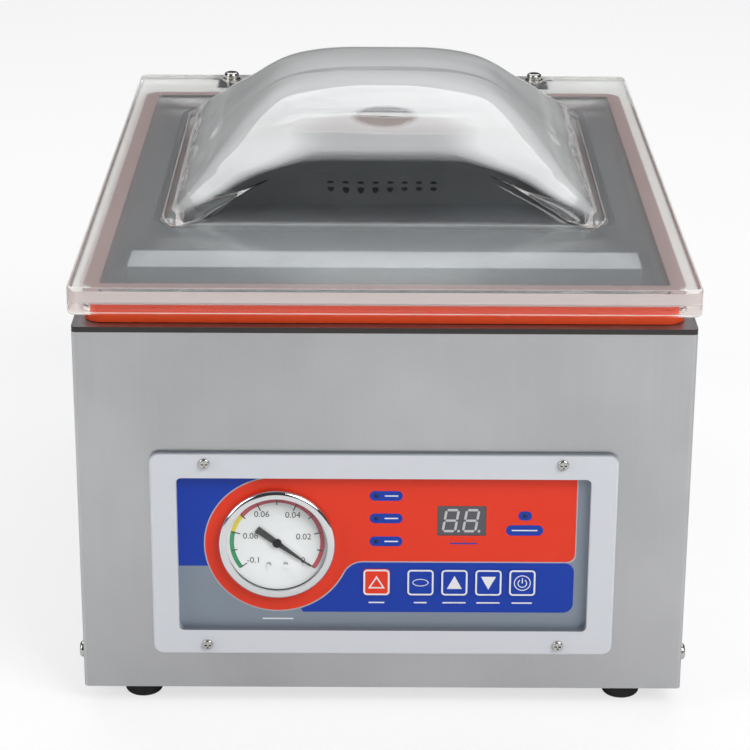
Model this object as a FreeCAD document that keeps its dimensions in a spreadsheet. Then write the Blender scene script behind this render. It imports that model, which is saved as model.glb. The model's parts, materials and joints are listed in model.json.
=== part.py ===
"""Table-top vacuum packing machine: steel casing, chamber, clear domed lid, gauge and key panel.

Frame: +Z up, +X to the right, -Y to the front, origin at the bottom centre. Millimetres.
"""
import FreeCAD, Part
import math
import os
import re
import Sketcher

Vector = FreeCAD.Vector

# ---------------------------------------------------------------- driving sizes
SIZES = {
    "Casing": {
        "case_width": 330,
        "case_depth": 455,
        "case_height": 208,
        "case_wall": 1.5,
        "case_bend": 2.5,
        "rear_flange": 14,
        "base_thick": 2,
        "base_flange": 24,
        "foot_height": 11,
        "foot_diameter": 21,
        "foot_round": 3,
        "foot_side_inset": 31.5,
        "foot_end_inset": 18,
        "foot_bolt": 5,
        "foot_bolt_sink": 4,
    },
    "Fasteners": {
        "side_screw": 4,
        "side_head": 9,
        "side_head_high": 3.4,
        "side_screw_inset": 15,
        "side_screw_level": 15.5,
        "panel_screw": 3,
        "panel_head": 6,
        "panel_head_high": 1.8,
        "screw_room": 0.1,
        "recess_slot": 0.9,
    },
    "Chamber": {
        "deck_thick": 3,
        "deck_corner": 3,
        "chamber_side": 17,
        "chamber_front": 20,
        "chamber_rear": 50,
        "chamber_corner": 24,
        "chamber_depth": 53,
        "tub_wall": 2,
        "port_bore": 12,
        "port_rise": 18,
        "grille_width": 92,
        "grille_height": 30,
        "grille_thick": 1,
        "grille_corner": 2,
        "grille_rise": 3,
        "grille_hole": 5,
        "grille_pitch": 10,
    },
    "Lid": {
        "lid_thick": 15,
        "lid_corner": 6,
        "lid_edge": 1.5,
        "lid_overhang": 2.8,
        "lid_side_overhang": 1.7,
        "lid_rear_overhang": 5.2,
        "lid_gap": 7.2,
        "gasket_thick": 8,
        "gasket_side_margin": 3,
        "gasket_front_margin": 5,
        "gasket_rear_margin": 7,
        "gasket_corner": 10,
        "gasket_groove": 4,
        "gasket_room": 0.3,
        "dome_side": 24,
        "dome_front": 111,
        "dome_rear": 86,
        "dome_corner": 14,
        "dome_height": 62,
        "dome_wall": 4,
    },
    "Hinges": {
        "hinge_inset": 73,
        "hinge_width": 42,
        "hinge_leaf": 3,
        "hinge_back": 12,
        "hinge_drop": 3.5,
        "knuckle_radius": 5,
        "ear_radius": 6,
        "ear_thick": 4,
        "ear_room": 0.4,
        "pin_radius": 2.9,
        "pin_room": 0.05,
        "bracket_drop": 46,
        "bracket_thick": 3,
        "lid_bolt": 5,
        "lid_bolt_head": 10,
        "lid_bolt_high": 4.2,
        "lid_bolt_span": 23,
        "lid_bolt_inset": 11,
        "lid_nut_high": 3,
        "leaf_margin": 9,
        "washer_diameter": 12,
        "washer_thick": 1.5,
    },
    "Sealing bars": {
        "upper_bar_room": 9,
        "upper_bar_width": 28,
        "upper_bar_high": 12,
        "upper_bar_front": 46.5,
        "strip_width": 12,
        "strip_thick": 4,
        "seal_gap": 6,
        "seal_lift": 5.5,
        "seal_bar_room": 16,
        "seal_bar_width": 14,
        "seal_bar_high": 20,
        "wire_width": 8,
        "wire_thick": 0.3,
        "tape_thick": 0.2,
        "post_diameter": 8,
        "post_room": 0.05,
        "post_inset": 27,
        "piston_room": 3,
        "piston_high": 5,
        "cylinder_diameter": 34,
        "cylinder_wall": 2.9,
        "cylinder_high": 30,
    },
    "Panel": {
        "bezel_side": 14.2,
        "bezel_rim": 14.4,
        "bezel_corner": 5.5,
        "bezel_level": 81.3,
        "bezel_proud": 3,
        "bezel_round": 1.2,
        "window_width": 223,
        "window_height": 90.2,
        "window_corner": 3,
        "collar_wall": 2,
        "collar_room": 0.2,
        "overlay_sink": 2,
        "overlay_thick": 1.5,
        "overlay_margin": 4,
        "bezel_screw_end": 15.5,
        "bezel_screw_inset": 5.8,
        "key_width": 14.6,
        "key_height": 15.6,
        "key_corner": 2,
        "key_room": 0.2,
        "key_proud": 0.8,
        "key_travel": 0.6,
        "key_flange": 1,
        "key_flange_reach": 1,
        "key_stem": 3,
        "key_space": 3.93,
        "warning_key_space": 9.4,
        "last_key_x": 76,
        "switch_size": 6,
        "switch_high": 4,
        "key_level": 63.4,
        "display_room": 0.2,
        "display_width": 26.5,
        "display_height": 17.5,
        "display_x": 42.35,
        "display_level": 100,
        "lamp_diameter": 3,
        "lamp_proud": 0.8,
        "lamp_room": 0.1,
        "board_width": 128,
        "board_height": 80,
        "board_x": 44,
        "board_level": 85,
        "board_back": 14,
        "board_thick": 1.6,
        "spacer_diameter": 6,
        "spacer_inset": 4,
    },
    "Gauge": {
        "gauge_x": -57.6,
        "gauge_level": 87,
        "ring_reach": 2,
        "ring_proud": 5.6,
        "ring_lip": 2,
        "ring_round": 2.2,
        "glass_inset": 0.45,
        "glass_lap": 1.8,
        "glass_thick": 2,
        "gauge_case_diameter": 59.5,
        "gauge_case_wall": 1.5,
        "gauge_case_deep": 30,
        "clamp_reach": 6,
        "clamp_thick": 3,
        "dial_room": 0.25,
        "dial_sink": 0.3,
        "dial_thick": 0.8,
        "pointer_margin": 5.2,
        "pointer_tail": 13.6,
        "pointer_wide": 3.2,
        "pointer_thick": 0.5,
        "pointer_gap": 0.9,
        "hub_diameter": 5,
        "spindle_diameter": 2,
        "spindle_room": 0.05,
        "zero_angle": -37,
    },
    "Works": {
        "motor_diameter": 96,
        "motor_length": 118,
        "pump_width": 92,
        "pump_length": 74,
        "pump_height": 112,
        "pump_bore": 60,
        "rotor_diameter": 48,
        "rotor_length": 50,
        "shaft_diameter": 12,
        "shaft_room": 0.05,
        "shaft_level": 66,
        "shaft_inset": 125,
        "fan_diameter": 78,
        "fan_thick": 12,
        "filter_diameter": 46,
        "filter_height": 58,
        "transformer_width": 86,
        "transformer_depth": 64,
        "transformer_height": 72,
        "manifold_width": 40,
        "manifold_depth": 18,
        "manifold_rise": 12,
        "coil_diameter": 20,
        "coil_length": 26,
        "hose_diameter": 12,
        "hose_length": 14,
        "tube_diameter": 6,
        "inlet_width": 48,
        "inlet_height": 27,
        "inlet_inset": 53,
        "inlet_level": 46,
        "rocker_level": 92,
        "rocker_width": 13,
        "rocker_height": 19,
        "rocker_tilt": 8,
        "vent_width": 4,
        "vent_height": 44,
        "vent_pitch": 9,
        "vent_level": 80,
        "plunger_diameter": 4,
        "plunger_collar": 6,
        "plunger_room": 0.2,
        "plunger_gap": 0.4,
    },
}

doc = FreeCAD.newDocument("VacuumPacker")
sheet = doc.addObject("Spreadsheet::Sheet", "sizes")
WORDS = set()
row = 1
for section, cells in SIZES.items():
    sheet.set(f"A{row}", section)
    for word, number in cells.items():
        row += 1
        sheet.set(f"A{row}", word)
        sheet.set(f"B{row}", str(number))
        sheet.setAlias(f"B{row}", word)
        WORDS.add(word)
    row += 2
doc.recompute()

# ------------------------------------------------------- places that pieces share
# Y of the casing's front face: the whole machine, trim and hinges included, is centred on Y = 0.
FRONT = "((bezel_proud + panel_head_high - case_depth - hinge_back - ear_radius) / 2)"
REAR = f"({FRONT} + case_depth)"
DECK = "(foot_height + case_height)"
DECK_TOP = f"({DECK} + deck_thick)"
LID_LOW = f"({DECK_TOP} + lid_gap)"
LID_TOP = f"({LID_LOW} + lid_thick)"
FLOOR = f"({DECK_TOP} - chamber_depth)"
CHAMBER_WIDTH = "(case_width - 2 * chamber_side)"
CHAMBER_LENGTH = "(case_depth - chamber_front - chamber_rear)"
CHAMBER_Y = f"({FRONT} + chamber_front + {CHAMBER_LENGTH} / 2)"
PIN_Y = f"({REAR} + hinge_back)"
PIN_Z = f"({LID_LOW} - hinge_drop)"
BAR_Y = f"({FRONT} + upper_bar_front + upper_bar_width / 2)"
BAR_TOP = f"({LID_LOW} - upper_bar_high - seal_gap)"
SEAL_BAR_LENGTH = f"({CHAMBER_WIDTH} - 2 * seal_bar_room)"
UPPER_BAR_LENGTH = f"({CHAMBER_WIDTH} - 2 * upper_bar_room)"
POST_X = f"({SEAL_BAR_LENGTH} / 2 - post_inset)"
LID_DEPTH = "(case_depth + lid_overhang + lid_rear_overhang)"
LID_WIDTH = "(case_width + 2 * lid_side_overhang)"
LID_BOLT_Y = f"({REAR} - lid_bolt_inset)"
HINGE_X = "(case_width / 2 - hinge_inset)"
GASKET_WIDTH = f"({CHAMBER_WIDTH} + 2 * (gasket_side_margin + gasket_thick))"
GASKET_LENGTH = f"({CHAMBER_LENGTH} + gasket_front_margin + gasket_rear_margin + 2 * gasket_thick)"
GASKET_Y = f"({CHAMBER_Y} + (gasket_rear_margin - gasket_front_margin) / 2)"
DOME_WIDTH = f"({CHAMBER_WIDTH} - 2 * dome_side)"
DOME_LENGTH = "(case_depth - dome_front - dome_rear)"
DOME_Y = f"({FRONT} + dome_front + {DOME_LENGTH} / 2)"
BEZEL_WIDTH = "(window_width + 2 * bezel_side)"
BEZEL_HEIGHT = "(window_height + 2 * bezel_rim)"
BEZEL_SCREW_X = "(window_width / 2 - bezel_screw_end)"
BEZEL_SCREW_RISE = f"({BEZEL_HEIGHT} / 2 - bezel_screw_inset)"
OVERLAY = f"({FRONT} + overlay_sink)"
OVERLAY_BACK = f"({OVERLAY} + overlay_thick)"
BOARD = f"({OVERLAY} + board_back - overlay_sink)"
GAUGE_Z = "(foot_height + gauge_level)"
RING = "(gauge_case_diameter + 2 * ring_reach)"
GLASS = "(gauge_case_diameter - 2 * glass_inset)"
DIAL = "(gauge_case_diameter - 2 * gauge_case_wall - 2 * dial_room)"
SHAFT_Y = f"({REAR} - shaft_inset)"
SHAFT_Z = "(foot_height + shaft_level)"
BASE_TOP = "(foot_height + base_thick)"
INLET_X = "(inlet_inset - case_width / 2)"

AXES = {
    "x": FreeCAD.Rotation(Vector(0, 1, 0), 90),
    "y": FreeCAD.Rotation(Vector(1, 0, 0), -90),
    "z": FreeCAD.Rotation(),
}
KEY_STEP = "(key_width + key_space)"
KEYS = {
    "warning_key": f"(last_key_x - 3 * {KEY_STEP} - key_width - warning_key_space)",
    "set_key": f"(last_key_x - 3 * {KEY_STEP})",
    "up_key": f"(last_key_x - 2 * {KEY_STEP})",
    "down_key": f"(last_key_x - {KEY_STEP})",
    "power_key": "last_key_x",
}
# Middles of the lamps: X, and Z above the casing's lower edge.
LAMPS = ((-3.8, 114.5), (-3.8, 101.3), (-3.8, 87.7), (76.6, 103.1))
PARTS = []


# ---------------------------------------------------------------------- helpers
def formula(text):
    """Make each size's word in the text a reference to the sheet."""
    return re.sub(r"[a-z_]+", lambda m: f"sizes.{m[0]}" if m[0] in WORDS else m[0], str(text))


def value(word):
    return float(sheet.get(word))


def bind(item, **formulas):
    for name, text in formulas.items():
        item.setExpression(name, formula(text))
    return item


def put(item, at, axis="z"):
    """Place an item at three formulas, its own Z turned to the given axis or by a rotation."""
    turn = AXES[axis] if isinstance(axis, str) else axis
    item.Placement = FreeCAD.Placement(Vector(), turn)
    for letter, text in zip("xyz", at):
        item.setExpression(f"Placement.Base.{letter}", formula(text))
    return item


def keep(item, label):
    """Name a finished sub-part and list it for writing."""
    item.Label = label
    PARTS.append(item)
    return item


def block(size, at):
    """A box centred in X and Y on its place, with its foot at Z."""
    length, width, height = size
    item = bind(doc.addObject("Part::Box", "Block"), Length=length, Width=width, Height=height)
    x, y, z = at
    return put(item, (f"{x} - ({length}) / 2", f"{y} - ({width}) / 2", z))


def rod(diameter, length, at, axis="z"):
    item = doc.addObject("Part::Cylinder", "Rod")
    return put(bind(item, Radius=f"({diameter}) / 2", Height=length), at, axis)


def ring(outer, inner, length, at, axis="z"):
    return cut(rod(outer, length, at, axis), [rod(inner, length, at, axis)])


def fuse(items):
    joined = doc.addObject("Part::MultiFuse", "Joined")
    joined.Shapes = items
    return joined


def cut(base, tools):
    result = doc.addObject("Part::Cut", "Cut")
    result.Base = base
    result.Tool = tools[0] if len(tools) == 1 else fuse(tools)
    return result


def group(items):
    """Several like solids in one sub-part."""
    together = doc.addObject("Part::Compound", "Group")
    together.Links = items
    return together


def soften(base, radius, pick):
    """Round the edges of a solid that pick() accepts."""
    doc.recompute()
    result = doc.addObject("Part::Fillet", "Softened")
    result.Base = base
    edges = enumerate(base.Shape.Edges, 1)
    result.Edges = [(number, radius, radius) for number, edge in edges if pick(edge)]
    return result


def new_body(at):
    body = doc.addObject("PartDesign::Body", "Body")
    return put(body, at)


def on_plane(body, role, offset):
    """A sketch on one of the body's own planes, moved by (along x, along y, off the plane)."""
    sketch = body.newObject("Sketcher::SketchObject", "Sketch")
    plane = next(item for item in body.Origin.OriginFeatures if item.Role == role)
    sketch.AttachmentSupport = [(plane, "")]
    sketch.MapMode = "FlatFace"
    for letter, text in zip("xyz", offset):
        sketch.setExpression(f"AttachmentOffset.Base.{letter}", formula(text))
    return sketch


def size_constraint(sketch, name, text, *constraint):
    number = sketch.addConstraint(Sketcher.Constraint(*constraint))
    sketch.renameConstraint(number, name)
    sketch.setExpression(f"Constraints.{name}", formula(text))


def rounded(body, role, width, height, corner, offset=(0, 0, 0)):
    """A sketch of a rectangle with round corners about its own middle."""
    sketch = on_plane(body, role, offset)
    half_w, half_h, turn = 50, 40, 5
    corners = ((1, -1, -90), (1, 1, 0), (-1, 1, 90), (-1, -1, 180))
    shapes = []
    for side_x, side_y, start in corners:
        middle = Vector(side_x * (half_w - turn), side_y * (half_h - turn), 0)
        circle = Part.Circle(middle, Vector(0, 0, 1), turn)
        shapes.append(Part.ArcOfCircle(circle, math.radians(start), math.radians(start + 90)))
    for number in range(4):
        shapes.append(Part.LineSegment(shapes[number].EndPoint, shapes[(number + 1) % 4].StartPoint))
    sketch.addGeometry(shapes, False)
    rules = []
    for number in range(4):
        rules.append(Sketcher.Constraint("Tangent", number, 2, number + 4, 1))
        rules.append(Sketcher.Constraint("Tangent", number + 4, 2, (number + 1) % 4, 1))
    rules += [Sketcher.Constraint("Vertical", 4), Sketcher.Constraint("Vertical", 6)]
    rules += [Sketcher.Constraint("Horizontal", 5), Sketcher.Constraint("Horizontal", 7)]
    rules += [Sketcher.Constraint("Equal", number, number + 1) for number in range(3)]
    rules.append(Sketcher.Constraint("Symmetric", 0, 3, 2, 3, -1, 1))
    sketch.addConstraint(rules)
    size_constraint(sketch, "width", width, "DistanceX", 6, 1, 4, 1, 2 * half_w)
    size_constraint(sketch, "height", height, "DistanceY", 7, 1, 5, 1, 2 * half_h)
    size_constraint(sketch, "corner", corner, "Radius", 0, turn)
    return sketch


def circle(body, role, diameter, offset=(0, 0, 0)):
    sketch = on_plane(body, role, offset)
    sketch.addGeometry(Part.Circle(Vector(), Vector(0, 0, 1), 4), False)
    sketch.addConstraint(Sketcher.Constraint("Coincident", 0, 3, -1, 1))
    size_constraint(sketch, "diameter", diameter, "Diameter", 0, 8)
    return sketch


def pad(body, sketch, length, flip=False):
    feature = body.newObject("PartDesign::Pad", "Pad")
    feature.Profile = sketch
    feature.Reversed = flip
    return bind(feature, Length=length)


def pocket(body, sketch, depth, flip=False):
    """Cut a sketch into a body: against its normal, or along it when flipped."""
    doc.recompute()
    before = body.Shape.Volume
    feature = body.newObject("PartDesign::Pocket", "Pocket")
    feature.Profile = sketch
    feature.Reversed = flip
    bind(feature, Length=depth)
    doc.recompute()
    if not body.Shape.Volume < before:
        raise RuntimeError(f"{feature.Label} cuts nothing")
    return feature


def pattern(body, feature, role, spacing, count):
    """Repeat a feature in a row along one of the body's own axes."""
    repeat = body.newObject("PartDesign::LinearPattern", "Row")
    axis = next(item for item in body.Origin.OriginFeatures if item.Role == role)
    repeat.Originals = [feature]
    repeat.Direction = (axis, [""])
    repeat.Occurrences = count
    body.Tip = repeat
    return bind(repeat, Length=f"({spacing}) * {count - 1}")


def round_body(body, radius, pick):
    doc.recompute()
    base = body.Tip
    names = [f"Edge{n}" for n, edge in enumerate(base.Shape.Edges, 1) if pick(edge)]
    feature = body.newObject("PartDesign::Fillet", "Fillet")
    feature.Base = (base, names)
    return bind(feature, Radius=radius)


def cross_screw(head, head_high, shank, length, at, axis, flip=False):
    """A pan-head screw with a cross recess; its head stands off the place against the axis."""
    turn = -1 if flip else 1
    along = {"x": 0, "y": 1, "z": 2}[axis]

    def shifted(text):
        place = list(at)
        place[along] = f"{place[along]} + {turn} * ({text})"
        return place

    def cylinder(diameter, size, start):
        low = start if turn == 1 else f"{start} + {size}"
        return rod(diameter, size, shifted(low), axis)

    body = cylinder(head, head_high, f"-{head_high}")
    edge_round = min(value(head_high) * 0.6, value(head) * 0.2) if head in WORDS else 1
    doc.recompute()
    outer = min if turn == 1 else max
    ends = [edge.CenterOfMass[along] for edge in body.Shape.Edges]
    face = outer(ends)

    def at_face(edge):
        flat = getattr(edge.BoundBox, "XYZ"[along] + "Length") < 0.01
        return flat and abs(edge.CenterOfMass[along] - face) < 0.01

    body = soften(body, edge_round, at_face)
    slots = []
    deep = f"{head_high} * 0.5"
    for wide in (0, 1):
        size = [f"{head} * 0.6"] * 3
        across = [n for n in range(3) if n != along]
        size[across[wide]] = "recess_slot"
        size[along] = deep
        middle = shifted(f"-{head_high} + {deep} / 2")
        middle[2] = f"{middle[2]} - ({size[2]}) / 2"
        slots.append(block(size, middle))
    return cut(fuse([body, cylinder(shank, length, "0")]), slots)


# ----------------------------------------------------------------------- casing
def outer_casing():
    """One folded sheet: the front and both sides, open at the rear, top and bottom."""
    body = new_body((0, f"{FRONT} + case_depth / 2", "foot_height"))
    sheet_outline = rounded(body, "XY_Plane", "case_width", "case_depth", "case_bend")
    pad(body, sheet_outline, "case_height")
    inside = rounded(body, "XY_Plane", "case_width - 2 * case_wall", "case_depth + case_bend * 2",
                     "case_bend - case_wall", (0, "case_wall + case_bend", 0))
    pocket(body, inside, "case_height", flip=True)
    middle = "case_depth / 2"
    window = rounded(body, "XZ_Plane", "window_width + 2 * collar_wall",
                     "window_height + 2 * collar_wall", "window_corner + collar_wall",
                     (0, "bezel_level", middle))
    pocket(body, window, "case_wall + 1")
    for side in (-1, 1):
        for rise in (-1, 1):
            hole = circle(body, "XZ_Plane", "panel_screw + 2 * screw_room",
                          (f"{side} * {BEZEL_SCREW_X}", f"bezel_level + {rise} * {BEZEL_SCREW_RISE}", middle))
            pocket(body, hole, "case_wall + 1")
    for inset in ("side_screw_inset - case_depth / 2", "case_depth / 2 - side_screw_inset * 2"):
        hole = circle(body, "YZ_Plane", "side_screw + 2 * screw_room",
                      (inset, "side_screw_level", "-case_width / 2 - 1"))
        pocket(body, hole, "case_width + 2", flip=True)
    return keep(body, "outer_casing")


def rear_panel():
    """The rear sheet with folded side flanges, vent slots, and holes for the inlet and switch."""
    body = new_body((0, REAR, BASE_TOP))
    width = "(case_width - 2 * case_wall)"
    height = "(case_height - base_thick)"
    outline = rounded(body, "XY_Plane", width, "rear_flange", "case_wall", (0, "-rear_flange / 2", 0))
    pad(body, outline, height)
    inside = rounded(body, "XY_Plane", f"{width} - 2 * case_wall", "rear_flange + 2", "0.5",
                     (0, "-rear_flange / 2 - 1 - case_wall", 0))
    pocket(body, inside, height, flip=True)
    inlet = rounded(body, "XZ_Plane", "inlet_width * 0.6", "inlet_height * 0.8", "1",
                    (INLET_X, "inlet_level - base_thick", 0))
    pocket(body, inlet, "case_wall", flip=True)
    rocker = rounded(body, "XZ_Plane", "rocker_width + 4", "rocker_height + 6", "1",
                     (INLET_X, "rocker_level - base_thick", 0))
    pocket(body, rocker, "case_wall", flip=True)
    slot = rounded(body, "XZ_Plane", "vent_width", "vent_height", "vent_width / 2 - 0.1",
                   ("vent_pitch / 3 - 33", "vent_level + base_thick", 0))
    vents = pocket(body, slot, "case_wall", flip=True)
    pattern(body, vents, "X_Axis", "vent_pitch", 15)
    return keep(body, "rear_panel")


def base_pan():
    """A tray that carries the works: a floor with flanges turned up inside the casing."""
    body = new_body((0, f"{FRONT} + (case_depth + case_wall) / 2", "foot_height"))
    width = "(case_width - 2 * case_wall)"
    depth = "(case_depth - case_wall)"
    pad(body, rounded(body, "XY_Plane", width, depth, "case_wall"), "base_thick")
    wall = "base_thick"
    rise = "(base_flange - base_thick)"
    for side in (-1, 1):
        at = (f"{side} * ({width} - {wall}) / 2", "-rear_flange / 2", "base_thick")
        strip = rounded(body, "XY_Plane", wall, f"{depth} - rear_flange - 8", "0.5", at)
        pad(body, strip, rise)
        for inset in ("side_screw_inset - case_wall", "case_depth - case_wall - side_screw_inset * 2"):
            hole = circle(body, "YZ_Plane", "side_screw + 2 * screw_room",
                          (f"{inset} - {depth} / 2", "side_screw_level", f"{side} * {width} / 2"))
            pocket(body, hole, f"{wall} + 1", flip=side < 0)
    for side in (-1, 1):
        for end in (-1, 1):
            at = (f"{side} * (case_width / 2 - foot_side_inset)",
                  f"{end} * (case_depth / 2 - foot_end_inset) - case_wall / 2", "base_thick")
            pocket(body, circle(body, "XY_Plane", "foot_bolt + 2 * screw_room", at), "base_thick + 1")
    return keep(body, "base_pan")


def foot_places():
    for side in (-1, 1):
        for end in (-1, 1):
            yield (f"{side} * (case_width / 2 - foot_side_inset)",
                   f"{FRONT} + case_depth / 2 + {end} * (case_depth / 2 - foot_end_inset)")


def feet():
    soft, bolts = [], []
    for x, y in foot_places():
        foot = rod("foot_diameter", "foot_height", (x, y, 0))
        foot = soften(foot, value("foot_round"), lambda edge: edge.BoundBox.ZMax < 0.1)
        sink = rod("foot_bolt * 2.2", "foot_bolt_sink", (x, y, 0))
        bore = rod("foot_bolt + 2 * screw_room", "foot_height", (x, y, 0))
        soft.append(cut(foot, [sink, bore]))
        head = rod("foot_bolt * 1.8", "foot_bolt * 0.6", (x, y, "foot_bolt_sink - foot_bolt * 0.6"))
        shank = rod("foot_bolt", f"{BASE_TOP} + foot_bolt - foot_bolt_sink", (x, y, "foot_bolt_sink"))
        nut = rod("foot_bolt * 1.7", "foot_bolt * 0.8", (x, y, BASE_TOP))
        bolts.append(fuse([head, shank, nut]))
    keep(group(soft), "rubber_feet")
    keep(group(bolts), "foot_bolts")


def side_screws():
    screws = []
    for side in (-1, 1):
        for y in (f"{FRONT} + side_screw_inset", f"{REAR} - side_screw_inset * 2"):
            place = (f"{side} * case_width / 2", y, "foot_height + side_screw_level")
            screws.append(cross_screw("side_head", "side_head_high", "side_screw",
                                      "case_wall + base_thick + side_screw", place, "x", flip=side > 0))
    keep(group(screws), "side_screws")


# ---------------------------------------------------------------------- chamber
def chamber_deck():
    body = new_body((0, f"{FRONT} + case_depth / 2", DECK))
    pad(body, rounded(body, "XY_Plane", "case_width", "case_depth", "deck_corner"), "deck_thick")
    mouth = rounded(body, "XY_Plane", CHAMBER_WIDTH, CHAMBER_LENGTH, "chamber_corner",
                    (0, f"{CHAMBER_Y} - {FRONT} - case_depth / 2", 0))
    pocket(body, mouth, "deck_thick", flip=True)
    plunger = circle(body, "XY_Plane", "plunger_collar + 2 * plunger_room",
                     (0, "case_depth / 2 - lid_bolt_inset", 0))
    pocket(body, plunger, "deck_thick", flip=True)
    return keep(body, "chamber_deck")


def chamber_tub():
    """A welded box hung under the deck, with post holes and a suction port."""
    deep = "(chamber_depth - deck_thick + tub_wall)"
    body = new_body((0, CHAMBER_Y, f"{DECK} - {deep}"))
    pad(body, rounded(body, "XY_Plane", f"{CHAMBER_WIDTH} + 2 * tub_wall",
                      f"{CHAMBER_LENGTH} + 2 * tub_wall", "chamber_corner + tub_wall"), deep)
    pocket(body, rounded(body, "XY_Plane", CHAMBER_WIDTH, CHAMBER_LENGTH, "chamber_corner",
                         (0, 0, "tub_wall")), deep, flip=True)
    for side in (-1, 1):
        hole = circle(body, "XY_Plane", "post_diameter + 2 * post_room",
                      (f"{side} * {POST_X}", f"{BAR_Y} - {CHAMBER_Y}", 0))
        pocket(body, hole, "tub_wall", flip=True)
    port = circle(body, "XZ_Plane", "port_bore", (0, "tub_wall + port_rise", f"1 - {CHAMBER_LENGTH} / 2"))
    pocket(body, port, "tub_wall + 2")
    return keep(body, "chamber_tub")


def suction_grille():
    """A drilled cover on the chamber's rear wall, over the suction port."""
    body = new_body((0, f"{CHAMBER_Y} + {CHAMBER_LENGTH} / 2", f"{FLOOR} + grille_rise"))
    plate = rounded(body, "XZ_Plane", "grille_width", "grille_height", "grille_corner",
                    (0, "grille_height / 2", 0))
    pad(body, plate, "grille_thick")
    for line in range(2):
        level = f"grille_height / 2 + {line - 0.5} * grille_pitch"
        hole = circle(body, "XZ_Plane", "grille_hole", ("-3.5 * grille_pitch", level, "grille_thick"))
        drilled = pocket(body, hole, "grille_thick")
        pattern(body, drilled, "X_Axis", "grille_pitch", 8)
    return keep(body, "suction_grille")


# -------------------------------------------------------------------------- lid
# Level curves of the dome, as shares of its height, width, length and half width:
# level, width, length, corner radius.
DOME_LEVELS = (
    (0.10, 0.944, 0.969, 0.13),
    (0.32, 0.831, 0.922, 0.25),
    (0.53, 0.718, 0.845, 0.38),
    (0.73, 0.629, 0.705, 0.37),
    (0.89, 0.500, 0.535, 0.30),
    (0.97, 0.339, 0.380, 0.22),
    (1, 0.161, 0.194, 0.11),
)


def dome_loft(body, kind, inset):
    """The dome's outer shape, or its hollow with walls of the given inset."""
    base = rounded(body, "XY_Plane", f"{DOME_WIDTH} - 2 * {inset}", f"{DOME_LENGTH} - 2 * {inset}",
                   f"dome_corner - {inset}", (0, 0, f"lid_thick - {inset}"))
    sections = []
    for level, width, length, corner in DOME_LEVELS:
        sections.append(rounded(body, "XY_Plane", f"{DOME_WIDTH} * {width} - 2 * {inset}",
                                f"{DOME_LENGTH} * {length} - 2 * {inset}",
                                f"{DOME_WIDTH} / 2 * {corner} - {inset} * 0.8",
                                (0, 0, f"lid_thick + dome_height * {level} - {inset}")))
    loft = body.newObject(kind, "Dome")
    loft.Profile = base
    loft.Sections = sections
    loft.Ruled = False
    return loft


def lid():
    """The clear lid: a thick plate with a hollow dome and a gasket groove underneath."""
    body = new_body((0, DOME_Y, LID_LOW))
    shift = f"({FRONT} - lid_overhang + {LID_DEPTH} / 2 - {DOME_Y})"
    pad(body, rounded(body, "XY_Plane", LID_WIDTH, LID_DEPTH, "lid_corner", (0, shift, 0)), "lid_thick")
    round_body(body, "lid_edge", lambda edge: edge.BoundBox.ZLength < 0.01)
    dome_loft(body, "PartDesign::AdditiveLoft", "0")
    dome_loft(body, "PartDesign::SubtractiveLoft", "dome_wall")
    hollow = rounded(body, "XY_Plane", f"{DOME_WIDTH} - 2 * dome_wall", f"{DOME_LENGTH} - 2 * dome_wall",
                     "dome_corner - dome_wall")
    pocket(body, hollow, "lid_thick - dome_wall", flip=True)
    doc.recompute()
    base = doc.addObject("Part::Cut", "LidPlate")
    base.Base = body
    base.Tool = gasket_ring(LID_LOW, "gasket_groove")
    holes = [rod("lid_bolt + 2 * screw_room", "lid_thick", (x, LID_BOLT_Y, LID_LOW))
             for x in lid_bolt_places()]
    return keep(cut(base, holes), "lid")


def gasket_ring(low, height):
    body = new_body((0, GASKET_Y, low))
    pad(body, rounded(body, "XY_Plane", GASKET_WIDTH, GASKET_LENGTH, "gasket_corner"), height)
    inner = rounded(body, "XY_Plane", f"{GASKET_WIDTH} - 2 * gasket_thick",
                    f"{GASKET_LENGTH} - 2 * gasket_thick", "gasket_corner - gasket_thick")
    pocket(body, inner, height, flip=True)
    return body


def lid_gasket():
    height = "(lid_gap - gasket_room + gasket_groove)"
    return keep(gasket_ring(f"{DECK_TOP} + gasket_room", height), "lid_gasket")


def lid_bolt_places():
    for side in (-1, 1):
        for end in (-1, 1):
            yield f"{side} * ({HINGE_X} + {end} * lid_bolt_span / 2)"


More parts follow.
